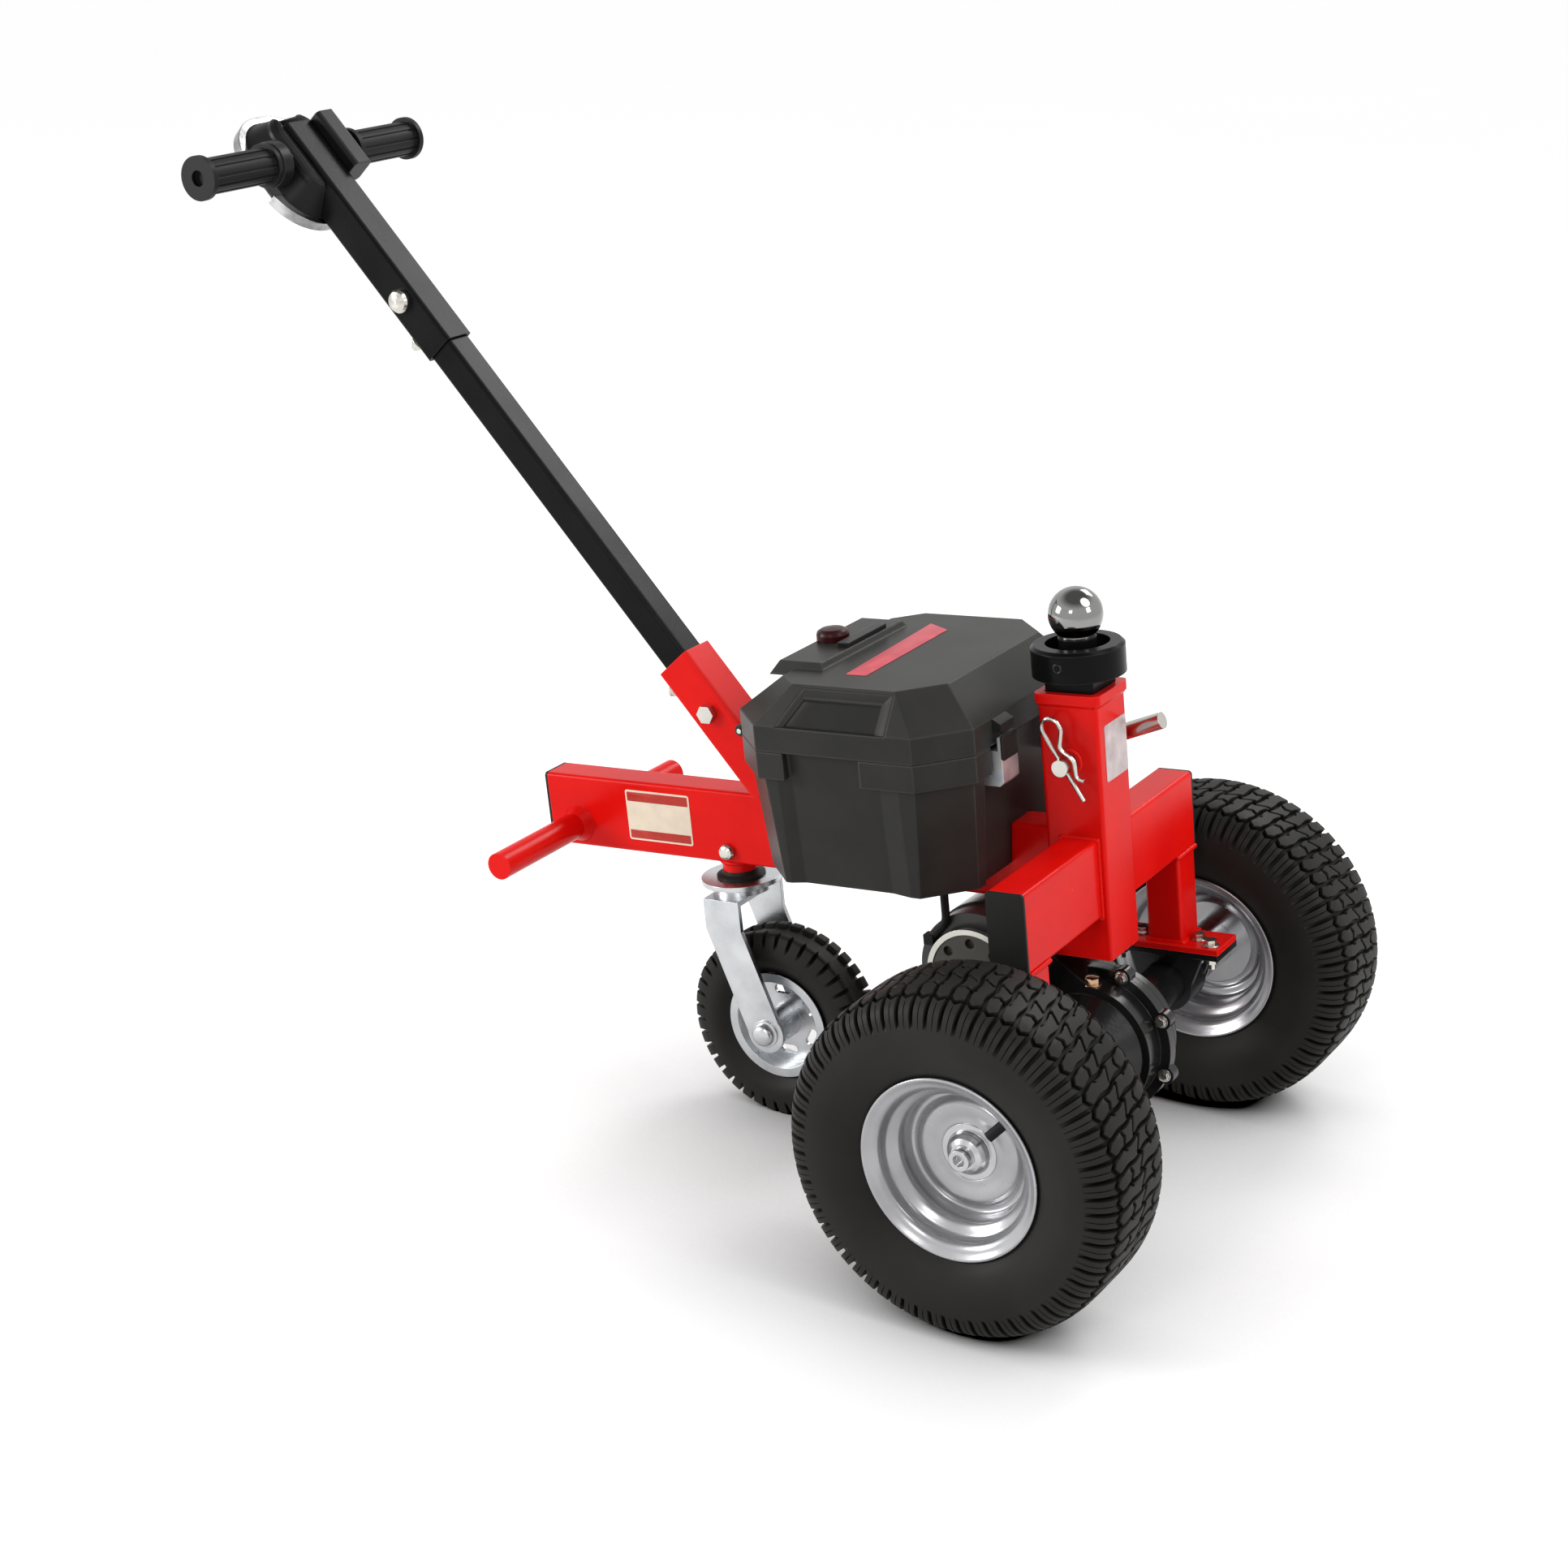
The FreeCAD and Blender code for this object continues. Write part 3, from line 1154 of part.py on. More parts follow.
def make_console():
    """The control housing round the bar, its chrome guard and the collar beside the near grip."""
    height = console_top + console_bottom
    rounding = []
    for step in range(console_edge_steps + 1):
        angle = step * math.pi / 2 / console_edge_steps
        rounding.append((console_edge * (1 - math.cos(angle)), console_edge * (1 - math.sin(angle))))
    outline = [(level, inset + console_waist) for level, inset in rounding]
    outline.append((console_top + guard_level, 0.0))
    outline += [(height - level, inset) for level, inset in reversed(rounding)]
    wires = []
    for level, inset in outline:
        wire = rounded_rectangle(2 * (console_half_width - inset), 2 * (console_half_length - inset),
                                 console_corner - inset)
        wire.translate(Vector(0, 0, level))
        wires.append(wire)
    pod = moved(Part.makeLoft(wires, True, True), handle_point(bar_station, 0.0, -console_top),
                Y_AXIS, handle_under)
    tube_hole = bar(upper_tube_size, upper_tube_size, 4 * console_half_length, tube_corner)
    tube_hole = moved(tube_hole, handle_point(bar_station - 2 * console_half_length), Y_AXIS,
                      handle_direction)
    bar_hole = rod(bar_radius, handle_point(bar_station, -bar_half_length),
                   handle_point(bar_station, bar_half_length))
    switch = bar(switch_width, switch_top, switch_end - switch_start, console_edge / 2)
    switch = moved(switch, handle_point(switch_start, switch_side - switch_width / 2, -switch_top / 2),
                   Y_AXIS, handle_direction)
    pieces["console"] = pod.fuse(switch).cut([tube_hole, bar_hole]).removeSplitter()
    ring_outer = console_slab(guard_half_width, guard_half_length, guard_corner, guard_level,
                              guard_thickness)
    ring_inner = console_slab(guard_half_width - guard_bar, guard_half_length - guard_bar,
                              guard_corner - guard_bar, guard_level, guard_thickness)
    opening = bar(4 * guard_half_width, 4 * guard_thickness, 2 * guard_gap, guard_thickness)
    opening = moved(opening, handle_point(bar_station - guard_gap, 0.0, guard_level), Y_AXIS,
                    handle_direction)
    pieces["console_rim"] = ring_outer.cut([ring_inner, opening, pod])
    grip_start = bar_half_length + grip_end - grip_length
    collar = ring(throttle_radius, bar_radius, handle_point(bar_station, -grip_start + 0.5),
                  handle_point(bar_station, -console_half_width))
    pieces["throttle"] = collar


def make_handle_bolts():
    """Bolts through the socket and the tubes, and the knob that clamps the upper tube."""
    socket_bolt = hex_head(large_bolt, bolt_head_height,
                           handle_point(socket_length - socket_bolt_from_top, -socket_size / 2), -Y_AXIS)
    under_bolt = hex_head(small_bolt, bolt_head_height,
                          handle_point(socket_length - socket_clamp_from_top, 0.0, socket_size / 2),
                          handle_under)
    knob = domed_head(knob_radius, knob_height,
                      handle_point(upper_tube_start + knob_inset, -upper_tube_size / 2), -Y_AXIS)
    clamp = hex_head(small_bolt, bolt_head_height,
                     handle_point(upper_tube_start + clamp_inset, 0.0, upper_tube_size / 2), handle_under)
    tube_bolt = domed_head(large_bolt / 2, bolt_head_height,
                           Vector(caster_swivel_x, -main_width / 2, main_bottom + tube_bolt_rise), -Y_AXIS)
    pieces["handle_bolts"] = Part.makeCompound([socket_bolt, under_bolt, knob, clamp, tube_bolt])


# ---- caster ---------------------------------------------------------------------------------

def make_caster_mount():
    """The welded boss under the main tube and the fixed disc of the swivel with its king pin."""
    top = Vector(caster_swivel_x, 0, main_bottom)
    disc_top = Vector(caster_swivel_x, 0, swivel_disc_top)
    disc_bottom = disc_top - Z_AXIS * swivel_disc_thickness
    pieces["caster_boss"] = rod(main_width / 2 - boss_inset, disc_top, top)
    disc = rod(swivel_disc_radius, disc_bottom, disc_top)
    pin_end = Vector(caster_swivel_x, 0, fork_crown_top - fork_thickness - kingpin_end)
    pin = rod(kingpin_radius, pin_end, disc_bottom)
    pieces["caster_disc"] = disc.fuse(pin).removeSplitter()


def make_caster_fork():
    """A bent strap fork: crown under the disc, legs that slant forward to the axle."""
    half = fork_width / 2
    crown_low = fork_crown_top - fork_thickness
    knee = fork_crown_top - fork_bend_drop
    outer = fork_inner_half + fork_thickness
    leg_outline = [(caster_swivel_x - half, fork_crown_top), (caster_swivel_x - half, knee),
                   (caster_axle_x - half, caster_axle_z), (caster_axle_x + half, caster_axle_z),
                   (caster_swivel_x + half, knee), (caster_swivel_x + half, fork_crown_top)]
    leg = profile(leg_outline, fork_thickness, fork_inner_half)
    eye = rod(half, Vector(caster_axle_x, fork_inner_half, caster_axle_z),
              Vector(caster_axle_x, outer, caster_axle_z))
    leg = leg.fuse(eye)
    crown = block(caster_swivel_x - half, caster_swivel_x + half, -outer, outer,
                  crown_low, fork_crown_top)
    race_top = swivel_disc_top - swivel_disc_thickness - race_gap
    race = rod(swivel_race_radius, Vector(caster_swivel_x, 0, fork_crown_top),
               Vector(caster_swivel_x, 0, race_top))
    bore = rod(kingpin_radius + running_gap, Vector(caster_swivel_x, 0, crown_low - 1),
               Vector(caster_swivel_x, 0, race_top + 1))
    fork = crown.fuse([leg, mirrored(leg), race])
    axle_hole = rod(caster_axle_radius, Vector(caster_axle_x, -outer - 1, caster_axle_z),
                    Vector(caster_axle_x, outer + 1, caster_axle_z))
    pieces["caster_fork"] = fork.cut([bore, axle_hole]).removeSplitter()
    near = Vector(caster_axle_x, -outer, caster_axle_z)
    far = Vector(caster_axle_x, outer, caster_axle_z)
    ends = [hex_head(caster_bolt_size, caster_bolt_head, near, -Y_AXIS),
            hex_head(caster_bolt_size, caster_bolt_head, far, Y_AXIS)]
    pieces["caster_axle"] = rod(caster_axle_radius, near, far).fuse(ends).removeSplitter()


def caster_window(centre, angle):
    """A rounded opening through the rim's disc, lying along the circle at an angle."""
    end_radius = window_width / 2
    reach = window_length / 2 - end_radius
    depth = caster_disc_thickness
    slot = block(-reach, reach, -depth, depth, window_circle - end_radius, window_circle + end_radius)
    for x in (-reach, reach):
        slot = slot.fuse(rod(end_radius, Vector(x, -depth, window_circle), Vector(x, depth, window_circle)))
    slot.rotate(ORIGIN, Y_AXIS, angle)
    slot.translate(centre)
    return slot


def make_caster_wheel():
    """The small pneumatic tyre and its zinc rim with a hub on the axle bolt."""
    centre = Vector(caster_axle_x, 0, caster_axle_z)
    half = caster_tyre_width / 2
    rim_half = caster_rim_width / 2
    wall = caster_tyre_wall
    bead = caster_bead_radius
    foot = (caster_knob_foot, half - 1)
    body = [(bead + bead_gap, rim_half - caster_rim_wall - wall), (caster_bulge_radius, half), foot]
    rib = [(caster_radius, caster_knob_half)]
    floor = (caster_radius - caster_crown_drop, caster_crown_half)
    pieces["caster_tyre"] = faceted_tyre(caster_facets, centre, body, rib, floor, crossing=False)
    rim_wall = caster_rim_wall
    barrel = [(caster_flange_radius, rim_half), (caster_flange_radius, rim_half - rim_wall),
              (bead, rim_half - rim_wall), (bead, -rim_half + rim_wall),
              (caster_flange_radius, -rim_half + rim_wall), (caster_flange_radius, -rim_half),
              (bead - rim_wall, -rim_half), (bead - rim_wall, rim_half)]
    solid = spun(barrel, centre, Y_AXIS)
    hub_half = fork_inner_half - caster_hub_gap
    hub = ring(caster_hub_radius, caster_axle_radius + running_gap,
               centre - Y_AXIS * hub_half, centre + Y_AXIS * hub_half)
    disc_half = Y_AXIS * (caster_disc_thickness / 2)
    disc = ring(bead - rim_wall / 2, caster_hub_radius - 1, centre - disc_half, centre + disc_half)
    disc = disc.cut([caster_window(centre, 360 * k / caster_windows) for k in range(caster_windows)])
    pieces["caster_rim"] = solid.fuse([hub, disc]).removeSplitter()


# ---- build, lean back, stand on the floor ---------------------------------------------------

def standing_placement():
    """Leans the machine, sets the tyres on the floor and centres it over the origin."""
    turn = FreeCAD.Rotation(Y_AXIS, -math.degrees(lean))
    raised = FreeCAD.Placement(Vector(0, 0, drive_radius), turn)
    boxes = []
    for shape in pieces.values():
        leaned = shape.copy()
        leaned.Placement = raised.multiply(leaned.Placement)
        boxes.append(leaned.optimalBoundingBox(False))
    rear = min(box.XMin for box in boxes)
    front = max(box.XMax for box in boxes)
    return FreeCAD.Placement(Vector(-(front + rear) / 2, 0, drive_radius), turn)


def build():
    """Makes every piece, stands the machine up and writes one file per piece."""
    make_main_tube()
    make_tube_caps()
    make_lift_bar()
    make_post()
    make_arms_and_legs()
    make_axle_brackets()
    make_frame_bolts()
    make_gear_case()
    make_axle_tubes()
    make_motor()
    make_drive_wheels()
    make_case()
    make_lid()
    make_lid_trim()
    make_batteries()
    make_ball_mount()
    make_hitch_pin()
    make_handle()
    make_grips()
    make_console()
    make_handle_bolts()
    make_caster_mount()
    make_caster_fork()
    make_caster_wheel()
    stand = standing_placement()
    for name, shape in pieces.items():
        placed = shape.copy()
        placed.Placement = stand.multiply(placed.Placement)
        pieces[name] = placed
        placed.exportStep(f"parts/{name}.step")
    return stand


standing = build()
print(len(pieces), "pieces, lean", round(math.degrees(lean), 2), "degrees")
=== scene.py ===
# %% [markdown]
# # An electric trailer dolly, dressed for its portrait
#
# The dolly is a small walk-behind machine: two driven turf tyres, a battery case, a caster that
# trails behind, a long handle and a tow ball on top of a square post. Its solids come from a CAD
# model. This lesson gives them paint, rubber, plastic and bright metal, and adds the small things
# that CAD leaves out: tread, welds, stickers, valve stems and screws.
#
# The first cell loads the solids.

# %% Load the solids
import bisect
import bpy
import bmesh
import json
import math
from mathutils import Matrix, Vector


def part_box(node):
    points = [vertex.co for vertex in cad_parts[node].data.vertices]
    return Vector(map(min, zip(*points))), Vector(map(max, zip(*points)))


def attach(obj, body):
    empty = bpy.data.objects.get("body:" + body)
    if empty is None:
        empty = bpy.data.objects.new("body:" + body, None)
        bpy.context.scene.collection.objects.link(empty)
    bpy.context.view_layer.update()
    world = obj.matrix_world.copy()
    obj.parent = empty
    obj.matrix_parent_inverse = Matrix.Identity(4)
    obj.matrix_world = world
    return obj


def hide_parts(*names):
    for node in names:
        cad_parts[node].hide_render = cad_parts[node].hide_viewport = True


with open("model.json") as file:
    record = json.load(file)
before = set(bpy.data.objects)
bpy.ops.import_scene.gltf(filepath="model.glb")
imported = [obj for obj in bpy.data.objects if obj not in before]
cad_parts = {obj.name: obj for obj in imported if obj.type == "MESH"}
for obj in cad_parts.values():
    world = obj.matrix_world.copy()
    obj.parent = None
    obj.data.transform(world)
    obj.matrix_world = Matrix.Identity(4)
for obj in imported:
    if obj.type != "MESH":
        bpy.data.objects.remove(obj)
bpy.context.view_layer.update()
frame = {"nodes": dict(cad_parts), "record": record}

nodes = frame["nodes"]

# %% [markdown]
# ## The machine leans a little
#
# The dolly stands on two large tyres and one small one, so its frame leans back by about five
# degrees. Parts are easier to place in the frame's own directions, in which the long tube is
# level. The lean is found from two solids: the axle of the drive wheels and the axle of the
# caster. `at` turns a place in the frame (in millimetres from the drive axle) into a place in
# the scene, and `facing` turns a direction.

# %% Directions of the leaning frame
def middle(node):
    low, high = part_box(node)
    return (low + high) / 2


drive_axle = middle("rim_left")
drive_axle.y = 0.0
caster_axle = middle("caster_rim")
AXLE_X, AXLE_Z = -0.360, -0.033      # the caster's axle from the drive axle, along the frame
reach = caster_axle - drive_axle
lean = math.atan2(-reach.z, -reach.x) - math.atan2(-AXLE_Z, -AXLE_X)
tilt = Matrix.Rotation(-lean, 4, "Y")
print("lean back:", round(math.degrees(lean), 2), "degrees")


def at(x, y, z):
    return drive_axle + tilt @ (Vector((x, y, z)) / 1000)


def facing(x, y, z):
    return (tilt @ Vector((x, y, z))).normalized()


print("ball centre:", [round(v, 4) for v in at(1.5, 0, 418)])

# %% [markdown]
# ## Camera
#
# A product portrait is taken from a little above and to one side of the front. A long-ish lens
# (about 63 mm on a full frame) keeps the near wheel from looking swollen. The camera's pose is a
# plain matrix: its columns are the camera's right, up and backward directions.

# %% Place the camera
CAMERA_PLACE = Vector((1.42698, -2.14882, 1.32251))
CAMERA_RIGHT = Vector((0.84702, 0.53116, -0.02052))
CAMERA_UP = Vector((-0.17185, 0.31018, 0.93502))
CAMERA_LENS, CAMERA_SENSOR = 62.936, 36.0         # millimetres
camera = bpy.data.objects.new("camera", bpy.data.cameras.new("camera"))
bpy.context.scene.collection.objects.link(camera)
axes = Matrix((CAMERA_RIGHT, CAMERA_UP, CAMERA_RIGHT.cross(CAMERA_UP))).transposed()
camera.matrix_world = Matrix.Translation(CAMERA_PLACE) @ axes.to_4x4()
camera.data.lens = CAMERA_LENS
camera.data.sensor_width = CAMERA_SENSOR
bpy.context.scene.camera = camera
print("camera distance:", round(CAMERA_PLACE.length, 3), "m")

# %% [markdown]
# ## Floor and light
#
# Catalogue pictures stand on white. The floor is one large flat pale sheet, and the sky behind
# it is white as well. What the camera and the shiny metal see of the floor is mostly an even
# white, with enough of the real shading left in to keep a soft shadow under the tyres. Close to
# the tyres that white is dimmed once more by a painted shadow, where little light gets in.
#
# The light is a pale sky all round with a dimmer ceiling, one broad soft key from above the
# front, and four boxes. The boxes give the metal and the case something bright to mirror: one
# in front, one on the near side, one at the rear of the near side for the case and its lid, and
# one on the far side for the rims and the fork.

# %% Floor, sky and lamps
def node_tree(owner):
    owner.use_nodes = True
    tree = owner.node_tree
    tree.nodes.clear()
    return tree


def seen_directly(tree):
    """1 for what the camera, a mirror or a glass shows, 0 for light that falls on the object."""
    path = tree.nodes.new("ShaderNodeLightPath")
    total = None
    for ray in ("Is Camera Ray", "Is Glossy Ray", "Is Transmission Ray"):
        if total is None:
            total = path.outputs[ray]
            continue
        either = tree.nodes.new("ShaderNodeMath")
        either.operation = "MAXIMUM"
        tree.links.new(total, either.inputs[0])
        tree.links.new(path.outputs[ray], either.inputs[1])
        total = either.outputs[0]
    return total


FLOOR_HALF = 14.0             # half of the sheet's side, in metres
FLOOR_GRAIN = 40.0
FLOOR_TINTS = (0.86, 0.88)
FLOOR_SHADOW = 0.62           # how much of the real shading shows on the white
FLOOR_WHITE = 1.50            # the even white, before the real shading is mixed in
CONTACT_REACH = 0.5           # how far under the machine the white is dimmed, in metres
CONTACT_SHADE = -0.60         # what the white would fall to where nothing reaches it


def floor_finish():
    paper = bpy.data.materials.new("floor_white")
    tree = node_tree(paper)
    new, link = tree.nodes.new, tree.links.new
    out, mix, shade = (new("ShaderNodeOutputMaterial"), new("ShaderNodeMixShader"),
                       new("ShaderNodeMixShader"))
    plain, matte = new("ShaderNodeEmission"), new("ShaderNodeBsdfDiffuse")
    grain, tint = new("ShaderNodeTexNoise"), new("ShaderNodeMapRange")
    grain.inputs["Scale"].default_value = FLOOR_GRAIN
    tint.inputs["To Min"].default_value = FLOOR_TINTS[0]
    tint.inputs["To Max"].default_value = FLOOR_TINTS[1]
    # painted shadow: ambient occlusion dims the floor's even white close to the machine
    near, contact = new("ShaderNodeAmbientOcclusion"), new("ShaderNodeMapRange")
    near.samples = 12
    near.inputs["Distance"].default_value = CONTACT_REACH
    contact.inputs["To Min"].default_value = CONTACT_SHADE
    contact.inputs["To Max"].default_value = FLOOR_WHITE
    link(near.outputs["AO"], contact.inputs["Value"])
    link(contact.outputs["Result"], plain.inputs["Strength"])
    link(grain.outputs["Fac"], tint.inputs["Value"])
    link(tint.outputs["Result"], matte.inputs["Color"])
    shade.inputs["Fac"].default_value = FLOOR_SHADOW
    link(plain.outputs[0], shade.inputs[1])
    link(matte.outputs[0], shade.inputs[2])
    link(seen_directly(tree), mix.inputs["Fac"])
    link(matte.outputs[0], mix.inputs[1])
    link(shade.outputs[0], mix.inputs[2])
    link(mix.outputs[0], out.inputs["Surface"])
    return paper


def make_floor(cells=8):
    sheet = bmesh.new()
    bmesh.ops.create_grid(sheet, x_segments=cells, y_segments=cells, size=FLOOR_HALF)
    data = bpy.data.meshes.new("floor")
    sheet.to_mesh(data)
    sheet.free()
    data.materials.append(floor_finish())
    floor = bpy.data.objects.new("floor", data)
    bpy.context.scene.collection.objects.link(floor)
    return floor


SKY_LEVEL = 0.46
CEILING_FROM, CEILING_FULL = 0.55, 0.85   # rise at which the ceiling starts and is full
CEILING_SHADE = 0.22                      # what a mirror sees there, where 1 is white


def make_sky():
    world = bpy.data.worlds.new("studio")
    tree = node_tree(world)
    new, link = tree.nodes.new, tree.links.new
    out, mix = new("ShaderNodeOutputWorld"), new("ShaderNodeMixShader")
    light, white = new("ShaderNodeBackground"), new("ShaderNodeBackground")
    light.inputs["Color"].default_value = (1.0, 1.0, 1.0, 1.0)
    where, height = new("ShaderNodeTexCoord"), new("ShaderNodeSeparateXYZ")
    ceiling = new("ShaderNodeMapRange")
    ceiling.inputs["From Min"].default_value = CEILING_FROM
    ceiling.inputs["From Max"].default_value = CEILING_FULL
    ceiling.inputs["To Min"].default_value = 1.0
    ceiling.inputs["To Max"].default_value = CEILING_SHADE
    link(where.outputs["Generated"], height.inputs[0])
    link(height.outputs["Z"], ceiling.inputs["Value"])
    link(ceiling.outputs["Result"], white.inputs["Color"])
    light.inputs["Strength"].default_value = SKY_LEVEL
    white.inputs["Strength"].default_value = 1.0
    link(seen_directly(tree), mix.inputs["Fac"])
    link(light.outputs[0], mix.inputs[1])
    link(white.outputs[0], mix.inputs[2])
    link(mix.outputs[0], out.inputs["Surface"])
    bpy.context.scene.world = world


def add_lamp(name, lamp, place, aim):
    lit = bpy.data.objects.new(name, lamp)
    lit.location = place
    lit.rotation_mode = "QUATERNION"
    lit.rotation_quaternion = (Vector(aim) - Vector(place)).to_track_quat("-Z", "Y")
    bpy.context.scene.collection.objects.link(lit)
    return lit


def make_key(place, strength, spread):
    sun = bpy.data.lights.new("key", "SUN")
    sun.energy = strength
    sun.angle = math.radians(spread)
    return add_lamp("key", sun, place, (0, 0, 0))


def make_box(name, place, aim, size, power):
    box = bpy.data.lights.new(name, "AREA")
    box.shape = "RECTANGLE"
    box.size, box.size_y = size
    box.energy = power
    return add_lamp(name, box, place, aim)


KEY_PLACE, KEY_STRENGTH, KEY_SPREAD = (2.6, 0.2, 3.4), 1.25, 36
# name: (place, aim, size, power)
BOXES = {"front_box": ((3.0, -0.2, 1.7), (0.2, 0, 0.5), (0.8, 0.8), 18),
         "near_box": ((0.6, -3.2, 1.9), (0, 0, 0.5), (0.6, 0.6), 16),
         "left_box": ((-2.7, -2.1, 1.5), (0, 0, 0.4), (1.3, 1.3), 84),
         "rim_box": ((0.6, 3.1, 3.1), (-0.3, 0, 0.7), (1.7, 1.3), 60)}
make_floor()
make_sky()
make_key(KEY_PLACE, KEY_STRENGTH, KEY_SPREAD)
for name, numbers in BOXES.items():
    make_box(name, *numbers)
bpy.context.scene.view_settings.view_transform = "Standard"

# %% [markdown]
# ## How a finish is made
#
# No real surface is one flat colour. Each finish here starts from a Principled shader and gets
# three quiet disturbances: its colour drifts between two shades over a few centimetres, its
# roughness drifts too, and a fine bump gives the grain of the moulding or the slight orange
# peel of the paint. A bevel on the normal rounds the sharp edges of the solids, so that an edge
# catches a thin line of light as a real pressed or moulded edge does. `finish` builds that once,
# and the cells after it only give numbers.

# %% The finish maker
def finish(name, shades, drift=18.0, rough=(0.4, 0.5), grain=900.0, bump=0.1, bump_depth=0.0002,
           metallic=0.0, coat=0.0, gloss=0.5, edge=0.0, edge_highlight=None, hollow=None, hollow_shade=1.0):
    """Colour, roughness and bump that drift; painted highlight on edges, painted shade in cuts."""
    stuff = bpy.data.materials.new(name)
    tree = node_tree(stuff)
    new, link = tree.nodes.new, tree.links.new
    out = new("ShaderNodeOutputMaterial")
    skin = new("ShaderNodeBsdfPrincipled")
    link(skin.outputs[0], out.inputs["Surface"])
    where = new("ShaderNodeTexCoord")
    cloud = new("ShaderNodeTexNoise")
    cloud.inputs["Scale"].default_value = drift
    cloud.inputs["Detail"].default_value = 4.0
    link(where.outputs["Object"], cloud.inputs["Vector"])
    shade = new("ShaderNodeValToRGB")
    for stop, place, colour in zip(shade.color_ramp.elements, (0.3, 0.7), shades):
        stop.position = place
        stop.color = (*colour, 1.0)
    link(cloud.outputs["Fac"], shade.inputs["Fac"])
    colour = shade.outputs["Color"]
    dull = new("ShaderNodeMapRange")
    dull.inputs["To Min"].default_value = rough[0]
    dull.inputs["To Max"].default_value = rough[1]
    link(cloud.outputs["Fac"], dull.inputs["Value"])
    link(dull.outputs["Result"], skin.inputs["Roughness"])
    fine = new("ShaderNodeTexNoise")
    fine.inputs["Scale"].default_value = grain
    fine.inputs["Detail"].default_value = 2.0
    link(where.outputs["Object"], fine.inputs["Vector"])
    relief = new("ShaderNodeBump")
    relief.inputs["Strength"].default_value = bump
    relief.inputs["Distance"].default_value = bump_depth
    link(fine.outputs["Fac"], relief.inputs["Height"])
    if edge:
        soft = new("ShaderNodeBevel")
        soft.samples = 6
        soft.inputs["Radius"].default_value = edge
        link(soft.outputs["Normal"], relief.inputs["Normal"])
        # painted highlight: a paler colour is mixed in along the rounded edges
        if edge_highlight:
            face = new("ShaderNodeNewGeometry")
            turn = new("ShaderNodeVectorMath")
            turn.operation = "DOT_PRODUCT"
            link(soft.outputs["Normal"], turn.inputs[0])
            link(face.outputs["Normal"], turn.inputs[1])
            rim = new("ShaderNodeMapRange")
            rim.inputs["From Min"].default_value = 0.995
            rim.inputs["From Max"].default_value = 0.93
            link(turn.outputs["Value"], rim.inputs["Value"])
            pale = new("ShaderNodeMix")
            pale.data_type = "RGBA"
            link(rim.outputs["Result"], pale.inputs["Factor"])
            link(colour, pale.inputs[6])
            pale.inputs[7].default_value = (*edge_highlight, 1.0)
            colour = pale.outputs[2]
    # painted shade: the colour is dimmed by the named depth attribute, most in cuts and grooves
    if hollow:
        deep, dark = new("ShaderNodeAttribute"), new("ShaderNodeMapRange")
        deep.attribute_name = hollow
        dark.inputs["To Min"].default_value = 1.0
        dark.inputs["To Max"].default_value = hollow_shade
        link(deep.outputs["Fac"], dark.inputs["Value"])
        dim = new("ShaderNodeVectorMath")
        dim.operation = "SCALE"
        link(colour, dim.inputs[0])
        link(dark.outputs["Result"], dim.inputs["Scale"])
        colour = dim.outputs["Vector"]
    link(colour, skin.inputs["Base Color"])
    link(relief.outputs["Normal"], skin.inputs["Normal"])
    skin.inputs["Metallic"].default_value = metallic
    skin.inputs["Specular IOR Level"].default_value = gloss
    skin.inputs["Coat Weight"].default_value = coat
    skin.inputs["Coat Roughness"].default_value = 0.12
    return stuff
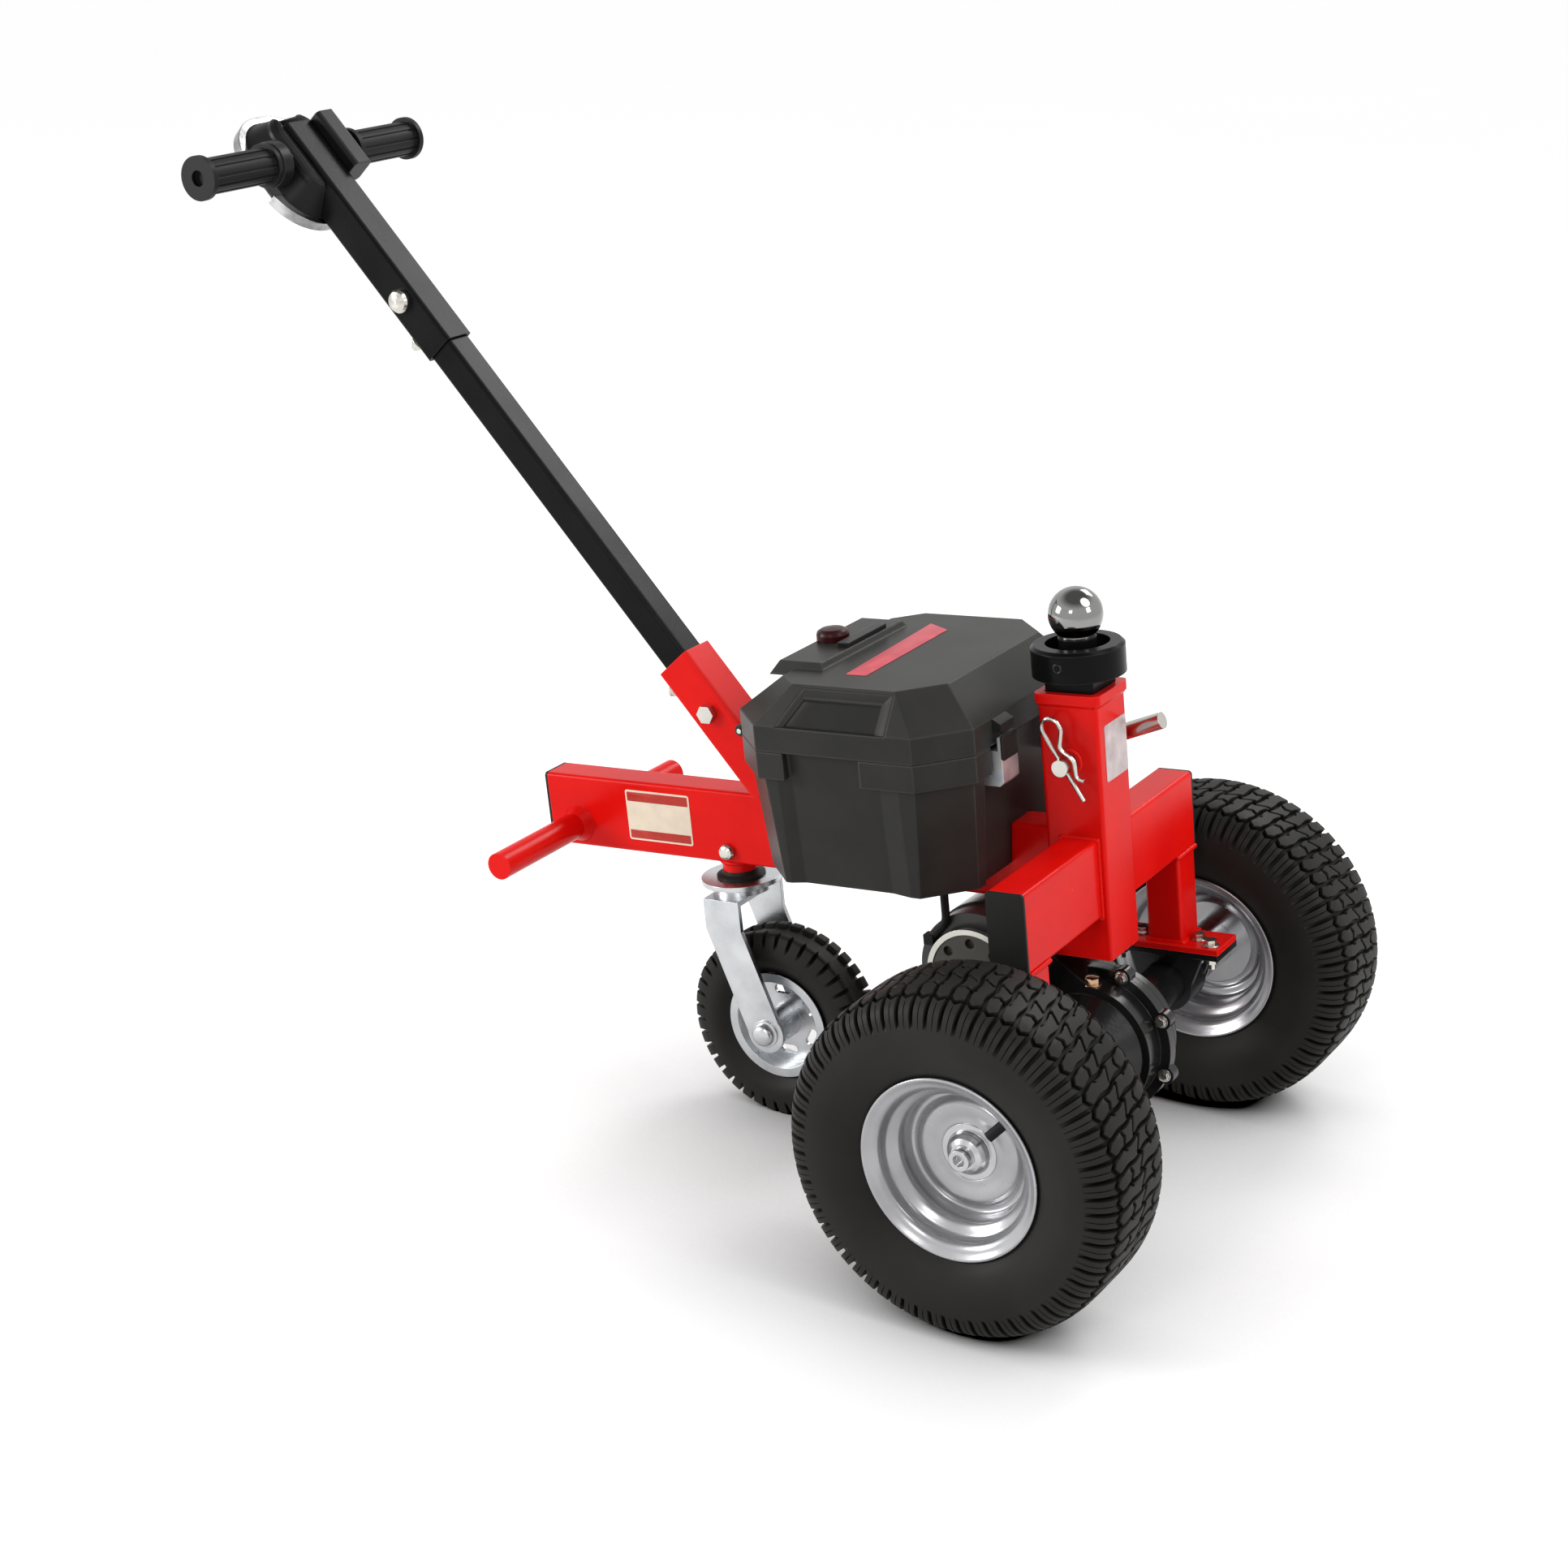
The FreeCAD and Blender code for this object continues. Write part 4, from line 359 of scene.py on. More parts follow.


# The pale edge colours given below paint a highlight on rounded edges.
finishes = {
    "red_paint": finish("red_paint", ((0.60, 0.0035, 0.0025), (0.68, 0.005, 0.003)),
                        rough=(0.2, 0.3), grain=240.0, bump=0.10, gloss=0.10, edge=0.0014,
                        edge_highlight=(0.78, 0.035, 0.03)),
    "black_cap_plastic": finish("black_cap_plastic", ((0.012, 0.012, 0.011), (0.017, 0.017, 0.015)),
                                rough=(0.42, 0.55), gloss=0.12, edge=0.0008),
    "black_castings": finish("black_castings", ((0.004, 0.004, 0.004), (0.009, 0.009, 0.009)),
                             rough=(0.12, 0.26), grain=300.0, bump=0.4, gloss=0.35, edge=0.0014),
    "zinc_steel": finish("zinc_steel", ((0.46, 0.45, 0.41), (0.62, 0.60, 0.55)), rough=(0.16, 0.3),
                         metallic=1.0, bump=0.06, edge=0.0006),
    "zinc_fork": finish("zinc_fork", ((0.46, 0.475, 0.49), (0.62, 0.635, 0.65)), drift=30.0,
                        rough=(0.2, 0.36), metallic=1.0, bump=0.08, edge=0.0008),
    "motor_grey": finish("motor_grey", ((0.022, 0.022, 0.022), (0.04, 0.04, 0.04)),
                         rough=(0.26, 0.4), grain=300.0, bump=0.2, gloss=0.35, edge=0.001),
    "motor_bell": finish("motor_bell", ((0.03, 0.029, 0.023), (0.055, 0.053, 0.043)),
                         rough=(0.3, 0.45), gloss=0.35, edge=0.0006),
    "cable_black": finish("cable_black", ((0.006, 0.006, 0.006), (0.011, 0.011, 0.011)),
                          rough=(0.45, 0.6), gloss=0.15),
    # painted shade in the tread grooves, a quarter as bright at their floor
    "tyre_rubber": finish("tyre_rubber", ((0.0110, 0.0105, 0.0095), (0.0190, 0.0182, 0.0162)),
                          drift=9.0, rough=(0.42, 0.58), grain=700.0, bump=0.22, gloss=0.12,
                          hollow="groove", hollow_shade=0.25),
    "rim_silver": finish("rim_silver", ((0.33, 0.33, 0.34), (0.42, 0.42, 0.435)), rough=(0.2, 0.32),
                         metallic=0.7, grain=500.0, bump=0.08, coat=0.3),
    "hub_steel": finish("hub_steel", ((0.42, 0.42, 0.43), (0.55, 0.55, 0.56)), rough=(0.14, 0.26),
                        metallic=1.0, bump=0.05, edge=0.0012),
    "case_plastic": finish("case_plastic", ((0.0205, 0.020, 0.0183), (0.0265, 0.026, 0.0237)),
                           rough=(0.3, 0.42), grain=1400.0, bump=0.3, gloss=0.11, edge=0.0030,
                           edge_highlight=(0.052, 0.051, 0.048)),
    "button_red": finish("button_red", ((0.022, 0.0015, 0.002), (0.034, 0.002, 0.003)),
                         rough=(0.3, 0.42), gloss=0.16, edge=0.001),
    "battery_black": finish("battery_black", ((0.02, 0.02, 0.02), (0.03, 0.03, 0.03)),
                            rough=(0.5, 0.6)),
    "black_paint": finish("black_paint", ((0.0022, 0.0022, 0.0022), (0.0045, 0.0045, 0.0045)),
                          rough=(0.2, 0.34), grain=260.0, bump=0.35, gloss=0.08, edge=0.0012,
                          edge_highlight=(0.03, 0.03, 0.03)),
    "chrome": finish("chrome", ((0.23, 0.228, 0.226), (0.29, 0.288, 0.285)), rough=(0.05, 0.11),
                     metallic=1.0, bump=0.02),
    # painted reflection: the chrome's colour swings in streaks between dark and bright
    "guard_chrome": finish("guard_chrome", ((0.07, 0.07, 0.07), (0.52, 0.52, 0.52)), drift=34.0,
                           rough=(0.14, 0.26), metallic=1.0, bump=0.03, edge=0.0015),
    "grip_rubber": finish("grip_rubber", ((0.0055, 0.0055, 0.0055), (0.010, 0.010, 0.010)),
                          rough=(0.4, 0.55), grain=800.0, bump=0.25, gloss=0.14, edge=0.0008,
                          edge_highlight=(0.03, 0.03, 0.03)),
    "console_plastic": finish("console_plastic", ((0.0055, 0.0055, 0.006), (0.0095, 0.0095, 0.010)),
                              rough=(0.3, 0.42), grain=1200.0, bump=0.25, gloss=0.14, edge=0.0018,
                              edge_highlight=(0.035, 0.035, 0.036)),
}
print("finishes:", len(finishes))

# %% [markdown]
# ## Give every solid its finish
#
# The record of the model says which finish each solid takes. One loop hands them out.

# %% Dress the solids
slots = {row["node"]: row["material_slot"] for row in frame["record"]["subparts"]}
for name, solid in nodes.items():
    stuff = finishes[slots[name]]
    if not solid.data.materials:
        solid.data.materials.append(stuff)
    for index in range(len(solid.material_slots)):
        solid.material_slots[index].material = stuff
print("dressed:", len(slots))

# %% [markdown]
# ## Tyres
#
# A turf tyre has a plain sidewall, a shoulder of narrow ribs and a crown of small S-shaped
# blocks. Cutting each block out of a smooth ring would need a very fine grid, because a cut
# that crosses the grid at a slant comes out ragged. So the grid itself is laid along the cuts:
# its rows follow the slanted grooves from shoulder to shoulder, and its columns follow the
# zigzag grooves round the wheel. Then every edge is crisp with few faces. The ribs and slanted
# grooves stand exactly where the plain solid has them.

# %% A smooth section measured along its length
def between(four, steps):
    """Places on a Catmull-Rom curve from the second of four points up to the third."""
    a, b, c, d = (Vector(point) for point in four)
    return [0.5 * (2 * b + (c - a) * t + (2 * a - 5 * b + 4 * c - d) * t * t
                   + (3 * b - a - 3 * c + d) * t ** 3)
            for t in (step / steps for step in range(steps))]


def smooth_curve(points, steps=12):
    """A curve through (radius, offset) points, as close places with their lengths."""
    ends = [points[0]] + list(points) + [points[-1]]
    places = []
    for k in range(len(points) - 1):
        places += between(ends[k:k + 4], steps)
    places.append(Vector(points[-1]))
    lengths = [0.0]
    for one, two in zip(places, places[1:]):
        lengths.append(lengths[-1] + (two - one).length)
    return places, lengths


def place_at(curve, length):
    """The (radius, offset) place at a length along a curve, and its outward direction."""
    places, lengths = curve
    k = min(max(bisect.bisect_right(lengths, length) - 1, 0), len(places) - 2)
    share = (length - lengths[k]) / (lengths[k + 1] - lengths[k])
    along = (places[k + 1] - places[k]).normalized()
    return places[k].lerp(places[k + 1], share), Vector((along.y, -along.x))


def wave(share):
    """A zigzag between -1 and 1, lowest at a whole number."""
    return 1 - 4 * abs((share % 1.0) - 0.5)


# %% [markdown]
# One maker serves both kinds of tyre. A *row* is a place across one pitch of the tread: how far
# from the groove's middle it is, how much of the groove's depth it has and how much of the fine
# cut's. A *column* is a place along the section. `lay_tread` puts each vertex where its row and
# column say, and joins them round.

# %% The tread maker
def lay_tread(name, centre, hand, pitches, rows, columns, groove_at, surface):
    """surface(column, row, pitch) gives radius, offset, depth; groove_at(offset) a pitch share."""
    places, depths = [], []
    for pitch in range(pitches):
        for row in rows:
            for column in columns:
                radius, offset, depth = surface(column, row, pitch)
                depths.append(depth)
                angle = 2 * math.pi * (pitch + row[0] + groove_at(offset)) / pitches
                x, z = radius * math.cos(angle), radius * math.sin(angle)
                places.append(centre + Vector((x, hand * offset, z)))
    wide, long = len(columns), len(rows) * pitches
    faces = []
    for a in range(long):
        b = (a + 1) % long
        for k in range(wide - 1):
            corners = (a * wide + k, a * wide + k + 1, b * wide + k + 1, b * wide + k)
            faces.append(corners if hand > 0 else corners[::-1])
    data = bpy.data.meshes.new(name)
    data.from_pydata(places, [], faces)
    data.polygons.foreach_set("use_smooth", [True] * len(faces))
    data.set_sharp_from_angle(angle=math.radians(32))
    data.materials.append(finishes["tyre_rubber"])
    # the groove depth share, which the tyre finish turns into painted shade
    groove = data.attributes.new("groove", "FLOAT", "POINT")
    groove.data.foreach_set("value", depths)
    tyre = bpy.data.objects.new(name, data)
    bpy.context.scene.collection.objects.link(tyre)
    print(name, "triangles:", 2 * len(faces))
    return tyre


GROOVE_WALL = 0.022           # share of a pitch that each wall of a groove takes up
GROOVE_LIP = 0.12             # share of the depth at which the rounded lip ends


def groove_rows(half_width, chamfer, sipe_half):
    """Rows of one pitch: (share from the groove's middle, groove depth share, sipe share)."""
    edge, floor = half_width + chamfer, half_width - GROOVE_WALL
    return [(-edge, 0.0, 0.0), (-half_width, GROOVE_LIP, 0.0), (-floor, 1.0, 0.0),
            (floor, 1.0, 0.0), (half_width, GROOVE_LIP, 0.0), (edge, 0.0, 0.0),
            (0.27, 0.0, 0.0), (0.38, 0.0, 0.0), (0.5 - sipe_half, 0.0, 0.0), (0.5, 0.0, 1.0),
            (0.5 + sipe_half, 0.0, 0.0), (0.62, 0.0, 0.0), (0.73, 0.0, 0.0)]


# %% [markdown]
# The drive tyre has 64 ribs on each shoulder, and each rib has a fine cut along its middle. A
# zigzag groove parts the ribs from the crown. The slanted grooves run on through the crown in an
# S, and one more zigzag groove along the middle turns what is left into small blocks.

# %% Drive tyres
DRIVE_PITCHES = 64
DRIVE_OUTLINE = [(0.165, 0.0), (0.1650, 0.020), (0.1643, 0.034), (0.1615, 0.0435), (0.1560, 0.0515),
                 (0.1485, 0.0565), (0.1390, 0.0592), (0.1290, 0.0602), (0.1180, 0.0600),
                 (0.1000, 0.0535), (0.0900, 0.0465), (0.0850, 0.0425), (0.0780, 0.0425)]
drive_curve = smooth_curve(DRIVE_OUTLINE)
DRIVE_GROOVE = 0.0050         # depth of the slanted and zigzag grooves
DRIVE_SIPE = 0.0026           # depth of the fine cut along each rib
RING_AT = 0.0415              # the zigzag groove between the crown and the ribs
RING_ZIGZAG = 0.0034          # how far it swings
BLOCK_AT = 0.0200             # the zigzag groove half way across the crown
BLOCK_ZIGZAG = 0.0030
MIDDLE_ZIGZAG = 0.0050
FOOT_AT = 0.0745              # the ribs end here, measured along the section

# (length from the middle, zigzag groove share, which zigzag it follows)
drive_half = [(0.0015, 1.0, "middle"), (0.0022, 0.12, "middle"), (0.0028, 0.0, "middle"),
              (0.0060, 0.0, "middle"), (0.0110, 0.0, "block"), (0.0172, 0.0, "block"),
              (0.0178, 0.12, "block"), (0.0186, 1.0, "block"), (0.0214, 1.0, "block"),
              (0.0222, 0.12, "block"), (0.0228, 0.0, "block"), (0.0290, 0.0, "block"),
              (0.0340, 0.0, "block"), (RING_AT - 0.0032, 0.0, "ring"),
              (RING_AT - 0.0026, 0.12, "ring"), (RING_AT - 0.0018, 1.0, "ring"),
              (RING_AT + 0.0018, 1.0, "ring"), (RING_AT + 0.0026, 0.12, "ring"),
              (RING_AT + 0.0032, 0.0, "ring"), (0.0490, 0.0, "rib"), (0.0540, 0.0, "rib"),
              (0.0590, 0.0, "rib"), (0.0640, 0.0, "rib"), (0.0690, 0.0, "rib"),
              (FOOT_AT, 0.0, "wall"),
              (0.0800, 0.0, "wall"), (0.0870, 0.0, "wall"), (0.0950, 0.0, "wall"),
              (0.1040, 0.0, "wall"), (0.1130, 0.0, "wall"), (0.1200, 0.0, "wall"),
              (0.1270, 0.0, "wall"), (0.1340, 0.0, "wall")]
drive_columns = [(-s, ring, kind) for s, ring, kind in reversed(drive_half)] + drive_half


def drive_groove_at(offset):
    inside = max(-1.0, min(1.0, offset / 0.035))
    return 0.5 - 0.35 * inside - 0.09 * math.sin(2 * math.pi * inside)


def drive_surface(column, row, pitch):
    place, ring, kind = column
    share, groove, sipe = row
    side = math.copysign(1.0, place)
    length = abs(place)
    if kind == "middle":
        place_now = place + MIDDLE_ZIGZAG * wave(share + 0.25) * (1 - length / 0.012)
    else:
        near_ring = max(0.0, 1 - abs(length - RING_AT) / 0.018)
        near_block = max(0.0, 1 - abs(length - BLOCK_AT) / 0.012)
        place_now = place + side * (RING_ZIGZAG * wave(share) * near_ring
                                    + BLOCK_ZIGZAG * wave(share + 0.5) * near_block)
    (radius, offset), out = place_at(drive_curve, abs(place_now))
    side = math.copysign(1.0, place_now)
    ease = min(1.0, max(0.0, (FOOT_AT - abs(place)) / 0.012))
    deep = DRIVE_GROOVE * (1 + 0.4 * min(1.0, max(0.0, (abs(place) - 0.044) / 0.01)))
    has_sipe = 0.048 < abs(place) < FOOT_AT
    if kind == "block" and (pitch + (side > 0)) % 2:
        ring = 0.0
    if kind == "middle" and pitch % 3 == 0:
        ring *= 0.3
    cut = max(deep * groove * ease, DRIVE_GROOVE * ring, DRIVE_SIPE * sipe * ease * has_sipe)
    depth = min(1.0, cut / DRIVE_GROOVE)
    return radius - abs(out.x) * cut, side * (offset - abs(out.y) * cut), depth


drive_rows = groove_rows(0.135, 0.018, 0.035)
for hand, sign in (("left", 1), ("right", -1)):
    tyre = lay_tread("tread_" + hand, middle("rim_" + hand), sign, DRIVE_PITCHES, drive_rows,
                     drive_columns, drive_groove_at, drive_surface)
    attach(tyre, "wheel_" + hand)
    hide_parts("tyre_" + hand)

# %% [markdown]
# The caster's tyre is smaller and has forty square knobs on each shoulder, with a lower plain
# crown between them. Its grooves are the places where the knobs are missing, so its surface is a
# mix of two sections: one over the knobs and one along the grooves' floor.

# %% Caster tyre
CASTER_PITCHES = 40
# (over the knobs, along the floor) as (radius, offset), from the middle outward
caster_half = [((0.0960, 0.0035), (0.0960, 0.0035)), ((0.0960, 0.0078), (0.0960, 0.0078)),
               ((0.0962, 0.0088), (0.0960, 0.0088)), ((0.0995, 0.0094), (0.0960, 0.0094)),
               ((0.1000, 0.0100), (0.0958, 0.0104)), ((0.1001, 0.0140), (0.0945, 0.0135)),
               ((0.0999, 0.0182), (0.0932, 0.0160)), ((0.0992, 0.0193), (0.0922, 0.0175)),
               ((0.0965, 0.0208), (0.0905, 0.0195)), ((0.0930, 0.0224), (0.0890, 0.0213)),
               ((0.0890, 0.0236), (0.0870, 0.0230)), ((0.0840, 0.0243), (0.0840, 0.0243)),
               ((0.0800, 0.0249), (0.0800, 0.0249)), ((0.0760, 0.0250), (0.0760, 0.0250)),
               ((0.0715, 0.0243), (0.0715, 0.0243)), ((0.0670, 0.0222), (0.0670, 0.0222)),
               ((0.0625, 0.0190), (0.0625, 0.0190)), ((0.0585, 0.0160), (0.0585, 0.0160)),
               ((0.0560, 0.0145), (0.0560, 0.0145))]
caster_columns = ([((a, -b), (c, -d)) for (a, b), (c, d) in reversed(caster_half)] + caster_half)


def caster_groove_at(offset):
    return 0.5 - 0.35 * max(-1.0, min(1.0, offset / 0.009))


def caster_surface(column, row, pitch):
    over, floor = column
    groove = row[1]
    depth = groove * min(1.0, math.dist(over, floor) / 0.003)
    return (*(o + (f - o) * groove for o, f in zip(over, floor)), depth)


caster_rows = groove_rows(0.135, 0.02, 0.04)
tyre = lay_tread("tread_caster", middle("caster_rim"), 1, CASTER_PITCHES, caster_rows,
                 caster_columns, caster_groove_at, caster_surface)
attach(tyre, "caster_wheel")
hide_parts("caster_tyre")

# %% [markdown]
# ## Makers for the small parts
#
# Most small parts of a machine are turned, swept or cut from sheet. `turned` makes the first
# kind: it takes a profile of (radius, height, flatness) in millimetres and turns it round an
# axis, once at every spot it is given, and a flatness of 1 makes that ring a hexagon, so the
# same few lines make washers, screw heads, studs and caps. `swept` carries a small round section
# along a path and is used for weld beads, with a ripple, and for the gear case's ribs, without
# one. `sheeted` cuts a thin plate with rounded corners, for labels and stripes. All three make a
# stack of rings, which `stack` joins and closes, and end in `keep`, which gives the piece its
# finish and the body it rides on.

# %% Makers of small parts
def keep(name, body, slot, places, faces, stuff=None, smooth=36):
    data = bpy.data.meshes.new(name)
    data.from_pydata(places, [], faces)
    data.polygons.foreach_set("use_smooth", [True] * len(faces))
    data.set_sharp_from_angle(angle=math.radians(smooth))
    data.materials.append(finishes[stuff or slot])
    piece = bpy.data.objects.new(name, data)
    bpy.context.scene.collection.objects.link(piece)
    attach(piece, body)
    print(name, "faces:", len(faces))
    return piece


def stack(start, levels, count):
    """Faces of rings of equal count stacked from a start: bands between them and two caps."""
    faces = []
    for level in range(levels - 1):
        low, high = start + level * count, start + (level + 1) * count
        for k in range(count):
            n = (k + 1) % count
            faces.append((low + k, low + n, high + n, high + k))
    last = start + (levels - 1) * count
    faces.append(tuple(start + k for k in reversed(range(count))))
    faces.append(tuple(last + k for k in range(count)))
    return faces


def across(axis):
    """Two directions square to an axis and to each other, and the axis itself."""
    along = facing(*axis)
    one = along.orthogonal().normalized()
    return one, along.cross(one), along


def hexagon(angle):
    """How far a hexagon's side is from its middle at an angle, where a corner is at 1."""
    sixth = math.pi / 3
    return math.cos(sixth / 2) / math.cos((angle % sixth) - sixth / 2)


def turned(name, body, slot, spots, axis, profile, sides=24, stuff=None):
    places, faces = [], []
    one, two, along = across(axis)
    for spot in spots:
        start = len(places)
        for radius, height, flat in profile:
            for k in range(sides):
                angle = 2 * math.pi * k / sides
                reach = radius / 1000 * (1 + flat * (hexagon(angle) - 1))
                places.append(at(*spot) + one * reach * math.cos(angle)
                              + two * reach * math.sin(angle) + along * height / 1000)
        faces += stack(start, len(profile), sides)
    return keep(name, body, slot, places, faces, stuff)


def swept(name, body, slot, paths, radius, ripple=0.0, pitch=3.0, step=1.0, sides=8, stuff=None):
    places, faces = [], []
    for path in paths:
        points, lengths = [], []
        total = 0.0
        for a, b in zip(path, path[1:]):
            a, b = Vector(a), Vector(b)
            parts = max(1, round((b - a).length / step))
            for k in range(parts):
                points.append(a.lerp(b, k / parts))
                lengths.append(total + (b - a).length * k / parts)
            total += (b - a).length
        points.append(Vector(path[-1]))
        lengths.append(total)
        start = len(places)
        side = None
        for k, point in enumerate(points):
            ahead = points[min(k + 1, len(points) - 1)] - points[max(k - 1, 0)]
            ahead.normalize()
            if side is None:
                side = ahead.orthogonal().normalized()
            side = (side - ahead * side.dot(ahead)).normalized()
            up = ahead.cross(side)
            size = radius * (1 + ripple * math.sin(2 * math.pi * lengths[k] / pitch))
            if k in (0, len(points) - 1):
                size *= 0.6
            for n in range(sides):
                angle = 2 * math.pi * n / sides
                places.append(at(*(point + side * size * math.cos(angle)
                                   + up * size * math.sin(angle))))
        faces += stack(start, len(points), sides)
    return keep(name, body, slot, places, faces, stuff, smooth=50)


def sheeted(name, body, slot, corners, thick, corner=3.0, stuff=None, lift=0.05):
    """A thin plate over four corners (mm, counter-clockwise seen from its face)."""
    corners = [Vector(c) for c in corners]
    face = (corners[1] - corners[0]).cross(corners[3] - corners[0]).normalized()
    rim = []
    for k, here in enumerate(corners):
        back = (corners[k - 1] - here).normalized()
        on = (corners[(k + 1) % 4] - here).normalized()
        for step in range(5):
            t = step / 4
            rim.append(here + back * corner * (1 - t) ** 2 + on * corner * t ** 2)
    middle_point = sum(corners, Vector()) / 4
    levels = ((0.0, 1.0), (thick * 0.7, 1.0), (thick, 0.985))
    places = []
    for height, share in levels:
        for point in rim:
            moved = middle_point + (point - middle_point) * share + face * (lift + height)
            places.append(at(*moved))
    faces = stack(0, len(levels), len(rim))
    return keep(name, body, slot, places, faces, stuff, smooth=30)


def circle(centre, axis, radius, parts=48):
    """A closed path round an axis, in the frame's own millimetres."""
    axis = Vector(axis).normalized()
    one = axis.orthogonal().normalized()
    two = axis.cross(one)
    turns = [2 * math.pi * k / parts for k in range(parts + 1)]
    return [Vector(centre) + one * radius * math.cos(a) + two * radius * math.sin(a) for a in turns]


print("makers: turned, swept, sheeted")

# %% [markdown]
# ## Welds
#
# The frame is box tube, welded. Every joint has a bead of small overlapping scales under the
# paint. A bead is a round section carried round the joint with a ripple every three millimetres,
# half of it sunk in the corner. They are drawn as one piece for each kind of joint.

# %% Welds of the frame
def loop_at(axis, level, one, two):
    """A closed rectangle on a plane: axis names the fixed direction, one and two the spans."""
    turns = [(one[0], two[0]), (one[1], two[0]), (one[1], two[1]), (one[0], two[1]),
             (one[0], two[0])]
    place = {"x": lambda a, b: (level, a, b), "y": lambda a, b: (a, level, b),
             "z": lambda a, b: (a, b, level)}[axis]
    return [place(a, b) for a, b in turns]


ARM_X, ARM_Z = (-13.6, 24.4), (135.0, 212.0)
LEG_Y = (138.0, 176.0)
LEG_FOOT = 46.0
POST_HALF = 30.0
POST_REAR = -28.5
TUBE_HALF, TUBE_FLOOR, TUBE_TOP = 19, 139, 216
SOCKET_REAR, SOCKET_FRONT, SOCKET_SEAM = -363.1, -306.9, 17.5
CASTER_PIN_X = -398
BOSS_SEAM, BOSS_LEVEL = 18.2, 138.6
WELD, SOCKET_WELD, BOSS_WELD = 2.4, 2.8, 2.2      # radius of each bead
RIPPLE = 0.16                                     # height of its scales, as a share of that
swept("weld_arms", "chassis", "red_paint",
      [loop_at("y", side * POST_HALF, ARM_X, ARM_Z) for side in (1, -1)], WELD, RIPPLE)
swept("weld_main_tube", "chassis", "red_paint",
      [loop_at("x", POST_REAR, (-TUBE_HALF, TUBE_HALF), (TUBE_FLOOR, TUBE_TOP))], WELD, RIPPLE)
leg_spans = [tuple(sorted((side * LEG_Y[0], side * LEG_Y[1]))) for side in (1, -1)]
swept("weld_legs", "chassis", "red_paint",
      [loop_at("z", level, ARM_X, span) for span in leg_spans for level in (ARM_Z[0], LEG_FOOT)],
      WELD, RIPPLE)
socket_foot = [[(x, -SOCKET_SEAM, TUBE_TOP), (x, SOCKET_SEAM, TUBE_TOP)]
               for x in (SOCKET_REAR, SOCKET_FRONT)]
swept("weld_socket", "chassis", "red_paint", socket_foot, SOCKET_WELD, RIPPLE)
swept("weld_caster_boss", "chassis", "red_paint",
      [circle((CASTER_PIN_X, 0, BOSS_LEVEL), (0, 0, 1), BOSS_SEAM)], BOSS_WELD, RIPPLE)

# %% [markdown]
# ## Labels and the stripe on the lid
#
# The lid has one long pinkish red stripe. The post and the tube each carry a small label. They
# are left blank here; only their colours are kept: plain silver on the post, and cream between
# two dark red bands on the tube. Each is a thin plate that stands a fraction of a millimetre
# proud of the surface it is stuck to.

# %% Stripe and labels
finishes["stripe_red"] = finish("stripe_red", ((0.46, 0.045, 0.065), (0.60, 0.075, 0.10)),
                                drift=60.0, rough=(0.35, 0.5), gloss=0.3)
finishes["label_cream"] = finish("label_cream", ((0.66, 0.56, 0.44), (0.74, 0.64, 0.50)),
                                 drift=70.0, rough=(0.3, 0.42), gloss=0.3)
finishes["label_band"] = finish("label_band", ((0.36, 0.018, 0.010), (0.44, 0.024, 0.014)),
                                drift=70.0, rough=(0.3, 0.42), gloss=0.3)
finishes["label_silver"] = finish("label_silver", ((0.42, 0.34, 0.34), (0.58, 0.50, 0.50)),
                                  drift=90.0, rough=(0.28, 0.42), metallic=0.25, gloss=0.4)
LID_TOP = 371.6
sheeted("lid_stripe", "lid", "button_red",
        [(-174, -86, LID_TOP), (-176, 73, LID_TOP), (-204, 90, LID_TOP), (-196, -86, LID_TOP)],
        0.5, corner=2.0, stuff="stripe_red")
POST_FRONT, TUBE_SIDE = 31.5, -TUBE_HALF
sheeted("label_post", "chassis", "rim_silver",
        [(POST_FRONT, -17, 264), (POST_FRONT, 27, 264), (POST_FRONT, 27, 318),
         (POST_FRONT, -17, 318)], 0.3, stuff="label_silver")
sheeted("label_tube", "chassis", "rim_silver",
        [(-519, TUBE_SIDE, 153), (-440, TUBE_SIDE, 153), (-440, TUBE_SIDE, 207),
         (-519, TUBE_SIDE, 207)], 0.3, stuff="label_cream")
for name, low, high in (("label_tube_top", 195, 205), ("label_tube_foot", 155, 164)):
    sheeted(name, "chassis", "red_paint",
            [(-517, TUBE_SIDE, low), (-442, TUBE_SIDE, low), (-442, TUBE_SIDE, high),
             (-517, TUBE_SIDE, high)], 0.25, corner=1.0, stuff="label_band", lift=0.4)

# %% [markdown]
# ## Valve stems
#
# Each driven rim has a rubber valve stem that leans inward from its well, with a ribbed cap. It
# stands at one angle of the wheel and turns with it.

# %% Valve stems
STEM = ((64.5, 19.0), (47.5, 29.0))         # (radius, offset) of its root and of its tip
STEM_ANGLE = math.radians(47 - math.degrees(lean))
WHEEL_OUT = 257.4                           # middle of a drive wheel, from the machine's middle
stem_long = math.dist(*STEM)
stem_profile = [(4.2, -3.0, 0.0), (5.6, -2.6, 0.0), (6.0, 0.0, 0.0), (5.4, 1.4, 0.0),
                (4.2, 2.2, 0.0), (3.9, 5.0, 0.0), (5.0, 5.2, 0.0), (5.2, 6.4, 0.6),
                (5.2, stem_long + 2.2, 0.6), (4.8, stem_long + 3.2, 0.3),
                (3.0, stem_long + 3.6, 0.0)]
for hand, sign in (("left", 1), ("right", -1)):
    (r_root, y_root), (r_tip, y_tip) = STEM
    turn = (math.cos(STEM_ANGLE), math.sin(STEM_ANGLE))
    root = (r_root * turn[0], sign * (WHEEL_OUT + y_root), r_root * turn[1])
    lean_in = ((r_tip - r_root) * turn[0], sign * (y_tip - y_root), (r_tip - r_root) * turn[1])
    turned("valve_stem_" + hand, "wheel_" + hand, "grip_rubber", [root], lean_in, stem_profile)

